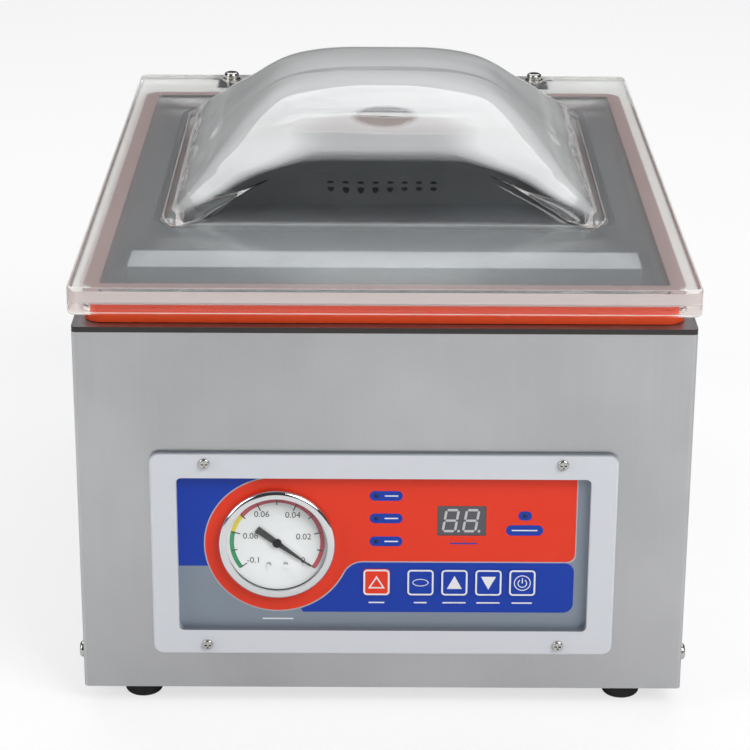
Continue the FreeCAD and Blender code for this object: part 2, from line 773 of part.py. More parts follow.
def hinges():
    leaves, brackets, pins = [], [], []
    half = "hinge_width / 2"
    for side in (-1, 1):
        x = f"{side} * {HINGE_X}"
        reach = f"({PIN_Y} - {LID_BOLT_Y} + leaf_margin)"
        leaf = block(("hinge_width", reach, "hinge_leaf"),
                     (x, f"{PIN_Y} - {reach} / 2", f"{LID_LOW} - hinge_leaf"))
        knuckle = rod("2 * knuckle_radius", "hinge_width", (f"{x} - {half}", PIN_Y, PIN_Z), "x")
        bore = rod("2 * (pin_radius + pin_room)", "hinge_width", (f"{x} - {half}", PIN_Y, PIN_Z), "x")
        bolt_holes = [rod("lid_bolt + 2 * screw_room", "hinge_leaf",
                          (f"{x} + {end} * lid_bolt_span / 2", LID_BOLT_Y,
                           f"{LID_LOW} - hinge_leaf")) for end in (-1, 1)]
        leaves.append(cut(fuse([leaf, knuckle]), [bore] + bolt_holes))
        wide = "(hinge_width + 2 * (ear_thick + ear_room))"
        plate = block((wide, "bracket_thick", "bracket_drop"),
                      (x, f"{REAR} + bracket_thick / 2", f"{PIN_Z} - knuckle_radius - 3 - bracket_drop"))
        ears = []
        for end in (-1, 1):
            middle = f"{x} + {end} * ({half} + ear_room + ear_thick / 2)"
            start = f"{middle} - ear_thick / 2"
            web_low = f"{PIN_Z} - knuckle_radius - 13"
            ears.append(rod("2 * ear_radius", "ear_thick", (start, PIN_Y, PIN_Z), "x"))
            ears.append(block(("ear_thick", "hinge_back + ear_radius * 0.6", f"{PIN_Z} - ({web_low})"),
                              (middle, f"{REAR} + (hinge_back + ear_radius * 0.6) / 2", web_low)))
        through = rod("2 * (pin_radius + pin_room)", wide, (f"{x} - {wide} / 2", PIN_Y, PIN_Z), "x")
        brackets.append(cut(fuse([plate] + ears), [through]))
        pins.append(rod("2 * pin_radius", wide, (f"{x} - {wide} / 2", PIN_Y, PIN_Z), "x"))
    keep(group(leaves), "hinge_leaves")
    keep(group(brackets), "hinge_brackets")
    keep(group(pins), "hinge_pins")


def lid_bolts():
    """Four screws with washers above the lid and nuts below the hinge leaves."""
    bolts, washers, nuts = [], [], []
    y = LID_BOLT_Y
    for x in lid_bolt_places():
        seat = f"{LID_TOP} + washer_thick"
        length = "lid_thick + washer_thick + hinge_leaf + lid_nut_high"
        bolts.append(cross_screw("lid_bolt_head", "lid_bolt_high", "lid_bolt", length,
                                 (x, y, seat), "z", flip=True))
        washers.append(ring("washer_diameter", "lid_bolt + 2 * screw_room", "washer_thick", (x, y, LID_TOP)))
        under = f"{LID_LOW} - hinge_leaf - lid_nut_high"
        nuts.append(ring("lid_bolt * 1.8", "lid_bolt + 2 * screw_room", "lid_nut_high", (x, y, under)))
    keep(group(bolts), "lid_bolts")
    keep(group(washers), "lid_washers")
    keep(group(nuts), "lid_nuts")


# ------------------------------------------------------------------ sealing bars
def upper_seal_bar():
    body = new_body((0, BAR_Y, f"{LID_LOW} - upper_bar_high"))
    pad(body, rounded(body, "XY_Plane", UPPER_BAR_LENGTH, "upper_bar_width", "1.5"), "upper_bar_high")
    groove = rounded(body, "XY_Plane", f"{UPPER_BAR_LENGTH} + 4", "strip_width", "0.5")
    pocket(body, groove, "strip_thick", flip=True)
    keep(body, "upper_seal_bar")
    strip = new_body((0, BAR_Y, f"{LID_LOW} - upper_bar_high"))
    pad(strip, rounded(strip, "XY_Plane", UPPER_BAR_LENGTH, "strip_width", "0.5"), "strip_thick")
    keep(strip, "silicone_strip")


def seal_bar():
    """The heated bar, its wire and tape, and the two posts that lift it."""
    low = f"({BAR_TOP} - tape_thick - wire_thick - seal_bar_high)"
    body = new_body((0, BAR_Y, low))
    pad(body, rounded(body, "XY_Plane", SEAL_BAR_LENGTH, "seal_bar_width", "1.5"), "seal_bar_high")
    keep(body, "seal_bar")
    wire_low = f"{low} + seal_bar_high"
    wire = block((f"{SEAL_BAR_LENGTH} - 4", "wire_width", "wire_thick"), (0, BAR_Y, wire_low))
    keep(wire, "heater_wire")
    tape = block((SEAL_BAR_LENGTH, "seal_bar_width", "tape_thick"),
                 (0, BAR_Y, f"{wire_low} + wire_thick"))
    keep(tape, "ptfe_tape")
    tub_low = f"({FLOOR} - tub_wall)"
    posts, cylinders = [], []
    for side in (-1, 1):
        x = f"{side} * {POST_X}"
        piston_top = f"({tub_low} - seal_lift - piston_room)"
        posts.append(fuse([
            rod("post_diameter", f"{low} - {piston_top}", (x, BAR_Y, piston_top)),
            rod("cylinder_diameter - 2 * cylinder_wall - 0.2", "piston_high",
                (x, BAR_Y, f"{piston_top} - piston_high")),
        ]))
        can = rod("cylinder_diameter", "cylinder_high", (x, BAR_Y, f"{tub_low} - cylinder_high"))
        room = rod("cylinder_diameter - 2 * cylinder_wall", "cylinder_high - 4",
                   (x, BAR_Y, f"{tub_low} - cylinder_high + 2"))
        neck = rod("post_diameter + 2 * post_room", 4, (x, BAR_Y, f"{tub_low} - 3"))
        cylinders.append(cut(can, [room, neck]))
    keep(group(posts), "lift_posts")
    keep(group(cylinders), "lift_cylinders")


# ------------------------------------------------------------------------- panel
def panel_bezel():
    body = new_body((0, FRONT, "foot_height + bezel_level"))
    pad(body, rounded(body, "XZ_Plane", BEZEL_WIDTH, BEZEL_HEIGHT, "bezel_corner"), "bezel_proud")
    round_body(body, "bezel_round", lambda edge: edge.BoundBox.YMax < 0.01 - value("bezel_proud"))
    collar = rounded(body, "XZ_Plane", "window_width + 2 * (collar_wall - collar_room)",
                     "window_height + 2 * (collar_wall - collar_room)",
                     "window_corner + collar_wall - collar_room",
                     (0, 0, "-overlay_sink"))
    pad(body, collar, "overlay_sink")
    window = rounded(body, "XZ_Plane", "window_width", "window_height", "window_corner",
                     (0, 0, "bezel_proud"))
    pocket(body, window, "bezel_proud + overlay_sink")
    for side in (-1, 1):
        for rise in (-1, 1):
            at = (f"{side} * {BEZEL_SCREW_X}", f"{rise} * {BEZEL_SCREW_RISE}", "bezel_proud")
            pocket(body, circle(body, "XZ_Plane", "panel_screw + 2 * screw_room", at), "bezel_proud")
    return keep(body, "panel_bezel")


def bezel_screws():
    screws = []
    for side in (-1, 1):
        for rise in (-1, 1):
            place = (f"{side} * {BEZEL_SCREW_X}", f"{FRONT} - bezel_proud",
                     f"foot_height + bezel_level + {rise} * {BEZEL_SCREW_RISE}")
            length = "bezel_proud + case_wall + panel_screw * 2"
            screw = cross_screw("panel_head", "panel_head_high", "panel_screw", length, place, "y")
            nut = ring("panel_screw * 2", "panel_screw", "panel_screw",
                       (place[0], f"{FRONT} + case_wall", place[2]), "y")
            screws.append(fuse([screw, nut]))
    keep(group(screws), "bezel_screws")


def control_overlay():
    """The printed front plate behind the bezel, open for the gauge, keys, display and lamps."""
    body = new_body((0, OVERLAY, "foot_height + bezel_level"))
    front = "0"
    pad(body, rounded(body, "XZ_Plane", "window_width + 2 * (collar_wall + overlay_margin)",
                      "window_height + 2 * overlay_margin", "window_corner",
                      (0, 0, "-overlay_thick")), "overlay_thick")
    deep = "overlay_thick + 1"
    level = "- bezel_level"
    pocket(body, circle(body, "XZ_Plane", "gauge_case_diameter + 0.6",
                        ("gauge_x", f"gauge_level {level}", front)), deep)
    for x in KEYS.values():
        pocket(body, rounded(body, "XZ_Plane", "key_width + 2 * key_room", "key_height + 2 * key_room",
                             "key_corner + key_room", (x, f"key_level {level}", front)), deep)
    pocket(body, rounded(body, "XZ_Plane", "display_width + 2 * display_room",
                         "display_height + 2 * display_room", "1",
                         ("display_x", f"display_level {level}", front)), deep)
    for x, height in LAMPS:
        pocket(body, circle(body, "XZ_Plane", "lamp_diameter + 2 * lamp_room",
                            (x, f"{height} {level}", front)), deep)
    return keep(body, "control_overlay")


def keys():
    """Five keys with flanges behind the overlay and stems that reach the switches."""
    face = f"({OVERLAY} - key_proud)"
    for name, x in KEYS.items():
        body = new_body((x, face, "foot_height + key_level"))
        thick = "(key_proud + overlay_thick + 0.1)"
        pad(body, rounded(body, "XZ_Plane", "key_width", "key_height", "key_corner", (0, 0, f"-{thick}")),
            thick)
        round_body(body, "0.3", lambda edge: edge.BoundBox.YMax < 0.01)
        pad(body, rounded(body, "XZ_Plane", "key_width + 2 * key_flange_reach",
                          "key_height + 2 * key_flange_reach", "key_corner",
                          (0, 0, f"-{thick} - key_flange")), "key_flange")
        stem_length = f"({BOARD} - switch_high - key_travel - 0.1 - {face} - {thick} - key_flange)"
        pad(body, circle(body, "XZ_Plane", "key_stem", (0, 0, f"-{thick} - key_flange - {stem_length}")),
            stem_length)
        keep(body, name)


def electronics():
    place = ("board_x", f"{BOARD} + board_thick / 2", "foot_height + board_level - board_height / 2")
    board = block(("board_width", "board_thick", "board_height"), place)
    keep(board, "control_board")
    spacers, switches, lamps = [], [], []
    for side in (-1, 1):
        for rise in (-1, 1):
            at = (f"board_x + {side} * (board_width / 2 - spacer_inset)", OVERLAY_BACK,
                  f"foot_height + board_level + {rise} * (board_height / 2 - spacer_inset)")
            spacers.append(rod("spacer_diameter", f"{BOARD} - {OVERLAY_BACK}", at, "y"))
    for x in KEYS.values():
        place = (x, f"{BOARD} - switch_high / 2", "foot_height + key_level - switch_size / 2")
        switches.append(block(("switch_size", "switch_high", "switch_size"), place))
    for x, height in LAMPS:
        place = (x, f"{OVERLAY} - lamp_proud", f"foot_height + {height}")
        lamp = rod("lamp_diameter", f"{BOARD} - {OVERLAY} + lamp_proud", place, "y")
        lamps.append(soften(lamp, value("lamp_diameter") * 0.4,
                            lambda edge: edge.BoundBox.YMax < front_y() + value("overlay_sink")))
    module = block(("display_width", f"{BOARD} - {OVERLAY} - display_room", "display_height"),
                   ("display_x", f"({BOARD} + {OVERLAY} + display_room) / 2",
                    "foot_height + display_level - display_height / 2"))
    keep(group(spacers), "board_spacers")
    keep(group(switches), "key_switches")
    keep(group(lamps), "indicator_lamps")
    keep(module, "display_module")


def front_y():
    """The casing's front face as a number, for choosing edges by their place."""
    back = value("case_depth") + value("hinge_back") + value("ear_radius")
    return (value("bezel_proud") + value("panel_head_high") - back) / 2


# ------------------------------------------------------------------------- gauge
def gauge():
    """A dial gauge: chrome ring, glass, dial, pointer, movement and case with a hose barb."""
    x, z = "gauge_x", GAUGE_Z
    ring_front = f"({OVERLAY} - ring_proud)"
    outer = rod(RING, "ring_proud", (x, ring_front, z), "y")
    outer = soften(outer, value("ring_round"),
                   lambda edge: edge.BoundBox.YLength < 0.01 and edge.BoundBox.YMax < front_y() - 1)
    view = rod(f"{GLASS} - 2 * glass_lap", "ring_proud", (x, ring_front, z), "y")
    rebate = rod(f"{GLASS} + 0.2", "ring_proud", (x, f"{ring_front} + ring_lip", z), "y")
    keep(cut(outer, [view, rebate]), "gauge_ring")
    glass = rod(GLASS, "glass_thick", (x, f"{ring_front} + ring_lip", z), "y")
    keep(glass, "gauge_glass")

    can = rod("gauge_case_diameter", "gauge_case_deep", (x, OVERLAY, z), "y")
    bore = rod("gauge_case_diameter - 2 * gauge_case_wall", "gauge_case_deep - gauge_case_wall",
               (x, OVERLAY, z), "y")
    stem_hole = rod("10", "gauge_case_deep * 2", (x, OVERLAY, f"{z} - 14"), "y")
    clamp = ring("gauge_case_diameter + 2 * clamp_reach", "gauge_case_diameter", "clamp_thick",
                 (x, OVERLAY_BACK, z), "y")
    keep(fuse([cut(can, [bore, stem_hole]), clamp]), "gauge_case")

    dial_front = f"({OVERLAY} + dial_sink)"
    plate = rod(DIAL, "dial_thick", (x, dial_front, z), "y")
    hole = rod("spindle_diameter + 1", "dial_thick", (x, dial_front, z), "y")
    fixings = [rod(size, "0.7", (f"{x} + {dx}", f"{dial_front} - 0.7", f"{z} + {dz}"), "y")
               for dx, dz, size in ((-4.9, -14, 2.2), (4.6, -14, 2.2))]
    stop = rod("1", "1.2", (f"{x} + 14.6", f"{dial_front} - 1.2", f"{z} - 13.5"), "y")
    keep(fuse([cut(plate, [hole])] + fixings + [stop]), "gauge_dial")

    frame_back = f"({dial_front} + dial_thick)"
    plates = rod(f"{DIAL} - 2", "gauge_case_deep * 0.5", (x, frame_back, z), "y")
    shaft_hole = rod("spindle_diameter + 2 * spindle_room", "gauge_case_deep * 0.5", (x, frame_back, z), "y")
    movement = cut(plates, [shaft_hole])
    rear = f"({OVERLAY} + gauge_case_deep)"
    stem = rod("9.6", f"{rear} + 8 - {frame_back} - gauge_case_deep * 0.4",
               (x, f"{frame_back} + gauge_case_deep * 0.4", f"{z} - 14"), "y")
    barb = rod("tube_diameter - 2", "14", (x, f"{rear} + 8", f"{z} - 14"), "y")
    keep(fuse([movement, stem, barb]), "gauge_movement")

    pointer = doc.addObject("Part::Feature", "Pointer")
    pointer.Shape = pointer_shape()
    aim = FreeCAD.Rotation(Vector(0, -1, 0), value("zero_angle"))
    put(pointer, (x, f"{dial_front} - pointer_gap - pointer_thick", z), aim)
    keep(pointer, "gauge_pointer")


def pointer_shape():
    """A tapered needle with a broad tail, a hub cap and a spindle, aimed at the zero mark."""
    dial = value("gauge_case_diameter") - 2 * value("gauge_case_wall") - 2 * value("dial_room")
    tip, tail = dial / 2 - value("pointer_margin"), value("pointer_tail")
    wide, thick = value("pointer_wide"), value("pointer_thick")
    outline = [(tip, 0.25), (-2, wide / 2), (-tail, wide / 2 + 0.4)]
    points = [Vector(x, 0, z) for x, z in outline] + [Vector(x, 0, -z) for x, z in reversed(outline)]
    blade = Part.Face(Part.makePolygon(points + points[:1])).extrude(Vector(0, thick, 0))
    toward_back = Vector(0, 1, 0)
    hub = Part.makeCylinder(value("hub_diameter") / 2, thick + 0.5, Vector(0, -0.5, 0), toward_back)
    spindle = Part.makeCylinder(value("spindle_diameter") / 2, value("gauge_case_deep") * 0.3,
                                Vector(), toward_back)
    return blade.fuse(hub).fuse(spindle).removeSplitter()


# ------------------------------------------------------------------------- works
def pump():
    """Motor and vane pump on one shaft along X, on a bracket, with an exhaust filter."""
    motor_left = "(-motor_length - 8)"
    foot_z = BASE_TOP
    shell = rod("motor_diameter", "motor_length", (motor_left, SHAFT_Y, SHAFT_Z), "x")
    cavity = rod("motor_diameter - 8", "motor_length - 14", (f"{motor_left} - 7", SHAFT_Y, SHAFT_Z), "x")
    bore = rod("shaft_diameter + 2 * shaft_room", "motor_length + 2",
               (f"{motor_left} - 1", SHAFT_Y, SHAFT_Z), "x")
    stator = ring("motor_diameter - 8", "shaft_diameter + 2 * shaft_room", "motor_length - 40",
                  (f"{motor_left} + 22", SHAFT_Y, SHAFT_Z), "x")
    cradle_high = f"(shaft_level - base_thick - motor_diameter / 2 + 6)"
    cradle = [block(("12", "motor_diameter * 0.7", cradle_high), (f"{motor_left} + {dx}", SHAFT_Y, foot_z))
              for dx in (24, 96)]
    core = rod("motor_diameter - 4", "motor_length", (motor_left, SHAFT_Y, SHAFT_Z), "x")
    keep(fuse([cut(shell, [cavity, bore]), stator] + [cut(item, [core]) for item in cradle]), "pump_motor")

    pump_left = "(-8)"
    case = block(("pump_width", "pump_length", "pump_height"),
                 (f"{pump_left} + pump_width / 2", SHAFT_Y, foot_z))
    chamber = rod("pump_bore", "pump_width - 30", (f"{pump_left} + 15", f"{SHAFT_Y}",
                  f"{SHAFT_Z} + (pump_bore - rotor_diameter) / 2 - 0.5"), "x")
    shaft_bore = rod("shaft_diameter + 2 * shaft_room", "pump_width - 10", (pump_left, SHAFT_Y, SHAFT_Z), "x")
    keep(cut(case, [chamber, shaft_bore]), "vacuum_pump")

    rotor = rod("rotor_diameter", "rotor_length", (f"{pump_left} + 20", SHAFT_Y, SHAFT_Z), "x")
    shaft = rod("shaft_diameter", f"pump_width - 12 - {motor_left} + {pump_left} + 6",
                (f"{motor_left} - 6", SHAFT_Y, SHAFT_Z), "x")
    keep(fuse([rotor, shaft]), "pump_rotor")
    fan_at = (f"{motor_left} - 6", SHAFT_Y, SHAFT_Z)
    hub = ring("shaft_diameter + 10", "shaft_diameter", "fan_thick", fan_at, "x")
    rim = ring("fan_diameter", "fan_diameter - 4", "fan_thick", fan_at, "x")
    blades = []
    for number in range(6):
        blade = doc.addObject("Part::Box", "Blade")
        bind(blade, Length="fan_thick", Width="2", Height="(fan_diameter - shaft_diameter - 10) / 2 - 1")
        turn = FreeCAD.Rotation(Vector(1, 0, 0), 60 * number)
        reach = turn.multVec(Vector(0, -1, value("shaft_diameter") / 2 + 4.5))
        blade.Placement = FreeCAD.Placement(Vector(), turn)
        for letter, text in zip("xyz", (f"{motor_left} - 6", f"{SHAFT_Y} + {reach.y:.4f}",
                                        f"{SHAFT_Z} + {reach.z:.4f}")):
            blade.setExpression(f"Placement.Base.{letter}", formula(text))
        blades.append(blade)
    keep(fuse([hub, rim] + blades), "motor_fan")

    filter_x = f"({pump_left} + pump_width + filter_diameter / 2)"
    can = rod("filter_diameter", "filter_height", (f"{filter_x} + 2", SHAFT_Y, f"{SHAFT_Z} - 20"))
    elbow = rod("16", "14", (f"{pump_left} + pump_width", SHAFT_Y, f"{SHAFT_Z}"), "x")
    keep(fuse([can, elbow]), "exhaust_filter")


def transformer():
    at = ("-case_width / 2 + 30 + transformer_width / 2", f"{FRONT} + 100", BASE_TOP)
    core = block(("transformer_width", "transformer_depth * 0.6", "transformer_height"), at)
    coil = block(("transformer_width * 0.56", "transformer_depth", "transformer_height * 0.6"),
                 (at[0], at[1], f"{BASE_TOP} + transformer_height * 0.2"))
    foot = block(("transformer_width + 16", "transformer_depth * 0.6", "3"), at)
    keep(fuse([core, foot, coil]), "transformer")


def plumbing():
    """Valve block under the suction port, the hose to the pump and the thin gauge tube."""
    port_y = f"({CHAMBER_Y} + {CHAMBER_LENGTH} / 2 + tub_wall)"
    port_z = f"({FLOOR} + port_rise)"
    pump_top = f"({BASE_TOP} + pump_height)"
    low = f"({pump_top} + hose_length)"
    manifold = block(("manifold_width", "manifold_depth", f"{port_z} + manifold_rise - {low}"),
                     (0, f"{port_y} + manifold_depth / 2", low))
    coils = []
    for side in (-1, 1):
        start = f"{side} * manifold_width / 2 - {(1 - side) // 2} * coil_length"
        coils.append(rod("coil_diameter", "coil_length",
                         (start, f"{port_y} + coil_diameter / 2", f"{port_z} - coil_diameter"), "x"))
    keep(manifold, "valve_manifold")
    keep(group(coils), "solenoid_coils")
    keep(rod("hose_diameter", "hose_length", ("hose_diameter / 2", f"{SHAFT_Y} + 20", pump_top)),
         "suction_hose")


def rear_fittings():
    """Mains inlet and power switch on the rear panel."""
    x = INLET_X
    z = "(foot_height + inlet_level)"
    flange = block(("inlet_width", "2.5", "inlet_height"), (x, f"{REAR} + 1.25", f"{z} - inlet_height / 2"))
    shell = block(("inlet_width * 0.58", "22", "inlet_height * 0.76"),
                  (x, f"{REAR} + 2.5 - 11", f"{z} - inlet_height * 0.38"))
    socket = block(("inlet_width * 0.5", "17", "inlet_height * 0.62"),
                   (x, f"{REAR} + 2.5 - 8.5", f"{z} - inlet_height * 0.31"))
    pins = [block(("2", "14", "5"), (f"{x} + {dx}", f"{REAR} - 10", f"{z} + {dz}"))
            for dx, dz in ((-7, -5), (7, -5), (0, 1))]
    keep(fuse([cut(fuse([flange, shell]), [socket])] + pins), "power_inlet")

    z = "(foot_height + rocker_level)"
    frame = block(("rocker_width + 8", "2", "rocker_height + 10"),
                  (x, f"{REAR} + 1", f"{z} - (rocker_height + 10) / 2"))
    box = block(("rocker_width + 3.6", "20", "rocker_height + 5.6"),
                (x, f"{REAR} - 10", f"{z} - (rocker_height + 5.6) / 2"))
    room = block(("rocker_width + 0.6", "13", "rocker_height + 3"),
                 (x, f"{REAR} + 2 - 6.5", f"{z} - (rocker_height + 3) / 2"))
    keep(cut(fuse([frame, box]), [room]), "switch_housing")
    lever = doc.addObject("Part::Feature", "Rocker")
    width, height = value("rocker_width"), value("rocker_height")
    lever.Shape = Part.makeBox(width, 9, height, Vector(-width / 2, -5, -height / 2))
    put(lever, (x, REAR, z), FreeCAD.Rotation(Vector(1, 0, 0), value("rocker_tilt")))
    keep(lever, "rocker_switch")


def lid_switch():
    """A sprung plunger through the deck that the closed lid holds down."""
    y = LID_BOLT_Y
    body_top = f"({DECK} - 8)"
    housing = block(("20", "14", "20"), (0, y, f"{body_top} - 20"))
    well = rod("plunger_diameter + 0.1", "12", (0, y, f"{body_top} - 12"))
    tab = [block(("3", "14", f"{DECK} - {body_top}"), (f"{side} * 8.5", y, body_top)) for side in (-1, 1)]
    keep(cut(fuse([housing] + tab), [well]), "lid_switch")
    tip = f"({LID_LOW} - plunger_gap)"
    stem = rod("plunger_diameter", f"{tip} - {body_top} + 6", (0, y, f"{body_top} - 6"))
    collar = rod("plunger_collar", "2", (0, y, f"{DECK} - 4.2"))
    keep(fuse([stem, collar]), "lid_switch_plunger")


def build():
    outer_casing()
    rear_panel()
    base_pan()
    feet()
    side_screws()
    chamber_deck()
    chamber_tub()
    suction_grille()
    lid()
    lid_gasket()
    hinges()
    lid_bolts()
    upper_seal_bar()
    seal_bar()
    panel_bezel()
    bezel_screws()
    control_overlay()
    keys()
    electronics()
    gauge()
    pump()
    transformer()
    plumbing()
    rear_fittings()
    lid_switch()


def write_parts():
    """Recompute, refuse anything failed, and write one file for each sub-part."""
    doc.recompute()
    failed = [item.Label for item in doc.Objects if {"Invalid", "Error"} & set(item.State)]
    if failed:
        raise RuntimeError(f"failed objects: {failed}")
    for item in PARTS:
        if item.Shape.isNull() or not item.Shape.isValid() or not item.Shape.Solids:
            raise RuntimeError(f"{item.Label} has no valid shape")
    os.makedirs("parts", exist_ok=True)
    for item in PARTS:
        item.Shape.exportStep(f"parts/{item.Label}.step")
    print(f"{len(PARTS)} sub-parts written")


build()
write_parts()
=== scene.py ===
import bpy, bmesh, json, math
from mathutils import Matrix, Vector

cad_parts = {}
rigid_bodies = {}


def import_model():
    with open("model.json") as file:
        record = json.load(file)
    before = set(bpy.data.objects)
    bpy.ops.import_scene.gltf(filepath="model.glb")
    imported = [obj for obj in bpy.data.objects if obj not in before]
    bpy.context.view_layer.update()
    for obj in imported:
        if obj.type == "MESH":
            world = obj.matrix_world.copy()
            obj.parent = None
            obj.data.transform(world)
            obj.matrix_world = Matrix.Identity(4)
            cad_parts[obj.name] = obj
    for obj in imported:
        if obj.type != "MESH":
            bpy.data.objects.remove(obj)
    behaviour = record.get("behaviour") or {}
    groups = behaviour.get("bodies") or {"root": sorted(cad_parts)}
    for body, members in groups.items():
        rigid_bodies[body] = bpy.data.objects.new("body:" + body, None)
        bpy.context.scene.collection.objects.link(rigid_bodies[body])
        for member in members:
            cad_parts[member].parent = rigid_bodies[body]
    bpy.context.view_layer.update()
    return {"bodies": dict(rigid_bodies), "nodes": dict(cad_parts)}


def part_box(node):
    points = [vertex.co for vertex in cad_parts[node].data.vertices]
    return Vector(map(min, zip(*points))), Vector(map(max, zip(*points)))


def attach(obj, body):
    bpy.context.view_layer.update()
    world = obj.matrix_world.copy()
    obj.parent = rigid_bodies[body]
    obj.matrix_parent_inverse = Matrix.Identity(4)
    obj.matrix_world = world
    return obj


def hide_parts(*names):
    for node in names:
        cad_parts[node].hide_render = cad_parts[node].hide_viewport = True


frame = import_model()
nodes = frame["nodes"]
MM = 0.001

# ------------------------------------------------------------ places from the CAD
case_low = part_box("outer_casing")[0]
lid_low, lid_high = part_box("lid")
gasket_low, gasket_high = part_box("lid_gasket")
dial_low, dial_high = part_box("gauge_dial")
FRONT = case_low.y                          # the casing's front face
FOOT = case_low.z                           # the casing's lower edge
PANEL_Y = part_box("control_overlay")[0].y    # the printed plate's front face
GAUGE_X = (dial_low.x + dial_high.x) / 2
GAUGE_Z = (dial_low.z + dial_high.z) / 2
DIAL_Y = PANEL_Y + 0.3 * MM                 # the dial's face, behind the stop pin that its node carries
LID_TOP = lid_low.z + 15 * MM               # the top of the lid's flat plate


# ---------------------------------------------------------------------- materials
def shader(name, color, roughness=0.5, metallic=0.0, **extra):
    """A new material with one Principled shader. Extra sockets are given by name."""
    mat = bpy.data.materials.new(name)
    mat.use_nodes = True
    surface = mat.node_tree.nodes["Principled BSDF"]
    surface.inputs["Base Color"].default_value = (*linear(color), 1)
    surface.inputs["Roughness"].default_value = roughness
    surface.inputs["Metallic"].default_value = metallic
    for socket, value in extra.items():
        surface.inputs[socket.replace("_", " ")].default_value = value
    return mat


def linear(color):
    """A screen colour, #RRGGBB, as linear light."""
    shares = [int(color[i:i + 2], 16) / 255 for i in (1, 3, 5)]
    return [c / 12.92 if c <= 0.04045 else ((c + 0.055) / 1.055) ** 2.4 for c in shares]


def add(owner, kind, **settings):
    """A new node in a material or world."""
    node = owner.node_tree.nodes.new(kind)
    for key, value in settings.items():
        setattr(node, key, value)
    return node


def link(owner, source, target):
    owner.node_tree.links.new(source, target)


def surface_of(mat):
    return mat.node_tree.nodes["Principled BSDF"]


def spread(owner, source, low, high, to_low=0.0, to_high=1.0):
    """Map a value from one range to another, held at both ends."""
    node = add(owner, "ShaderNodeMapRange")
    for socket, number in (("From Min", low), ("From Max", high), ("To Min", to_low), ("To Max", to_high)):
        node.inputs[socket].default_value = number
    link(owner, source, node.inputs["Value"])
    return node.outputs["Result"]


def compute(mat, operation, *values):
    node = add(mat, "ShaderNodeMath", operation=operation)
    for value, socket in zip(values, node.inputs):
        link(mat, value, socket)
    return node.outputs["Value"]


def part_of(owner, vector, letter):
    """One of a vector's three numbers."""
    split = add(owner, "ShaderNodeSeparateXYZ")
    link(owner, vector, split.inputs["Vector"])
    return split.outputs[letter]


def place_on(mat):
    """A point's place in its piece's own frame."""
    return add(mat, "ShaderNodeTexCoord").outputs["Object"]


def face_normal(mat):
    """Where a face looks, in its piece's own frame, so the same at every pose."""
    lie = add(mat, "ShaderNodeNewGeometry")
    turn = add(mat, "ShaderNodeVectorTransform", vector_type="NORMAL", convert_from="WORLD", convert_to="OBJECT")
    link(mat, lie.outputs["True Normal"], turn.inputs["Vector"])
    return turn.outputs["Vector"]


def mix_shaders(mat, factor, first, second):
    mix = add(mat, "ShaderNodeMixShader")
    for source, socket in zip((factor, first, second), mix.inputs):
        link(mat, source, socket)
    link(mat, mix.outputs["Shader"], mat.node_tree.nodes["Material Output"].inputs["Surface"])


def texture(mat, scale, detail=3.0, stretch=(1, 1, 1), roughness=0.5):
    """Noise over the piece's own place, stretched along an axis for a grain."""
    mapping = add(mat, "ShaderNodeMapping")
    mapping.inputs["Scale"].default_value = stretch
    noise = add(mat, "ShaderNodeTexNoise")
    noise.inputs["Scale"].default_value = scale
    noise.inputs["Detail"].default_value = detail
    noise.inputs["Roughness"].default_value = roughness
    link(mat, place_on(mat), mapping.inputs["Vector"])
    link(mat, mapping.outputs["Vector"], noise.inputs["Vector"])
    return noise.outputs["Fac"]


def vary_color(mat, source, dark, light):
    ramp = add(mat, "ShaderNodeValToRGB")
    for element, position, color in zip(ramp.color_ramp.elements, (0.3, 0.7), (dark, light)):
        element.position = position
        element.color = (*linear(color), 1)
    link(mat, source, ramp.inputs["Fac"])
    link(mat, ramp.outputs["Color"], surface_of(mat).inputs["Base Color"])


def vary_roughness(mat, source, low, high):
    link(mat, spread(mat, source, 0.3, 0.7, low, high), surface_of(mat).inputs["Roughness"])


def bump(mat, source, strength, distance):
    node = add(mat, "ShaderNodeBump")
    node.inputs["Strength"].default_value = strength
    node.inputs["Distance"].default_value = distance
    link(mat, source, node.inputs["Height"])
    link(mat, node.outputs["Normal"], surface_of(mat).inputs["Normal"])


def brushed(name, dark, light, grain, roughness=(0.3, 0.42), strength=0.12):
    """Steel with fine lines along the axis where the grain is 1 and far finer across it."""
    mat = shader(name, light, metallic=1.0)
    lines = texture(mat, 1400, 2, grain)
    cloud = texture(mat, 9, 3)
    vary_color(mat, cloud, dark, light)
    vary_roughness(mat, lines, *roughness)
    bump(mat, lines, strength, 0.00005)
    return mat


def second_color(mat, share, color):
    """Turn the base colour into another one as the share goes from 0 to 1."""
    base = surface_of(mat).inputs["Base Color"]
    mix = add(mat, "ShaderNodeMix", data_type="RGBA")
    if base.links:
        link(mat, base.links[0].from_socket, mix.inputs["A"])
    else:
        mix.inputs["A"].default_value = base.default_value
    mix.inputs["B"].default_value = (*linear(color), 1)
    link(mat, share, mix.inputs["Factor"])
    link(mat, mix.outputs["Result"], base)


def cut_edges_and_seam_shade(mat, color):
    """A second colour on a plate's upright cut edges: partly the cut steel's own darker colour, partly painted
    shade for the seam beneath them.
    """
    level = compute(mat, "ABSOLUTE", part_of(mat, face_normal(mat), "Z"))
    second_color(mat, spread(mat, level, 0, 1, 1, 0), color)


def top_color(mat, color):
    """A second colour on the faces that look up. On the seal bar the faces that don't look up keep a grey that
    is a painted reflection; on the bezel the second colour is painted shade.
    """
    second_color(mat, part_of(mat, face_normal(mat), "Z"), color)


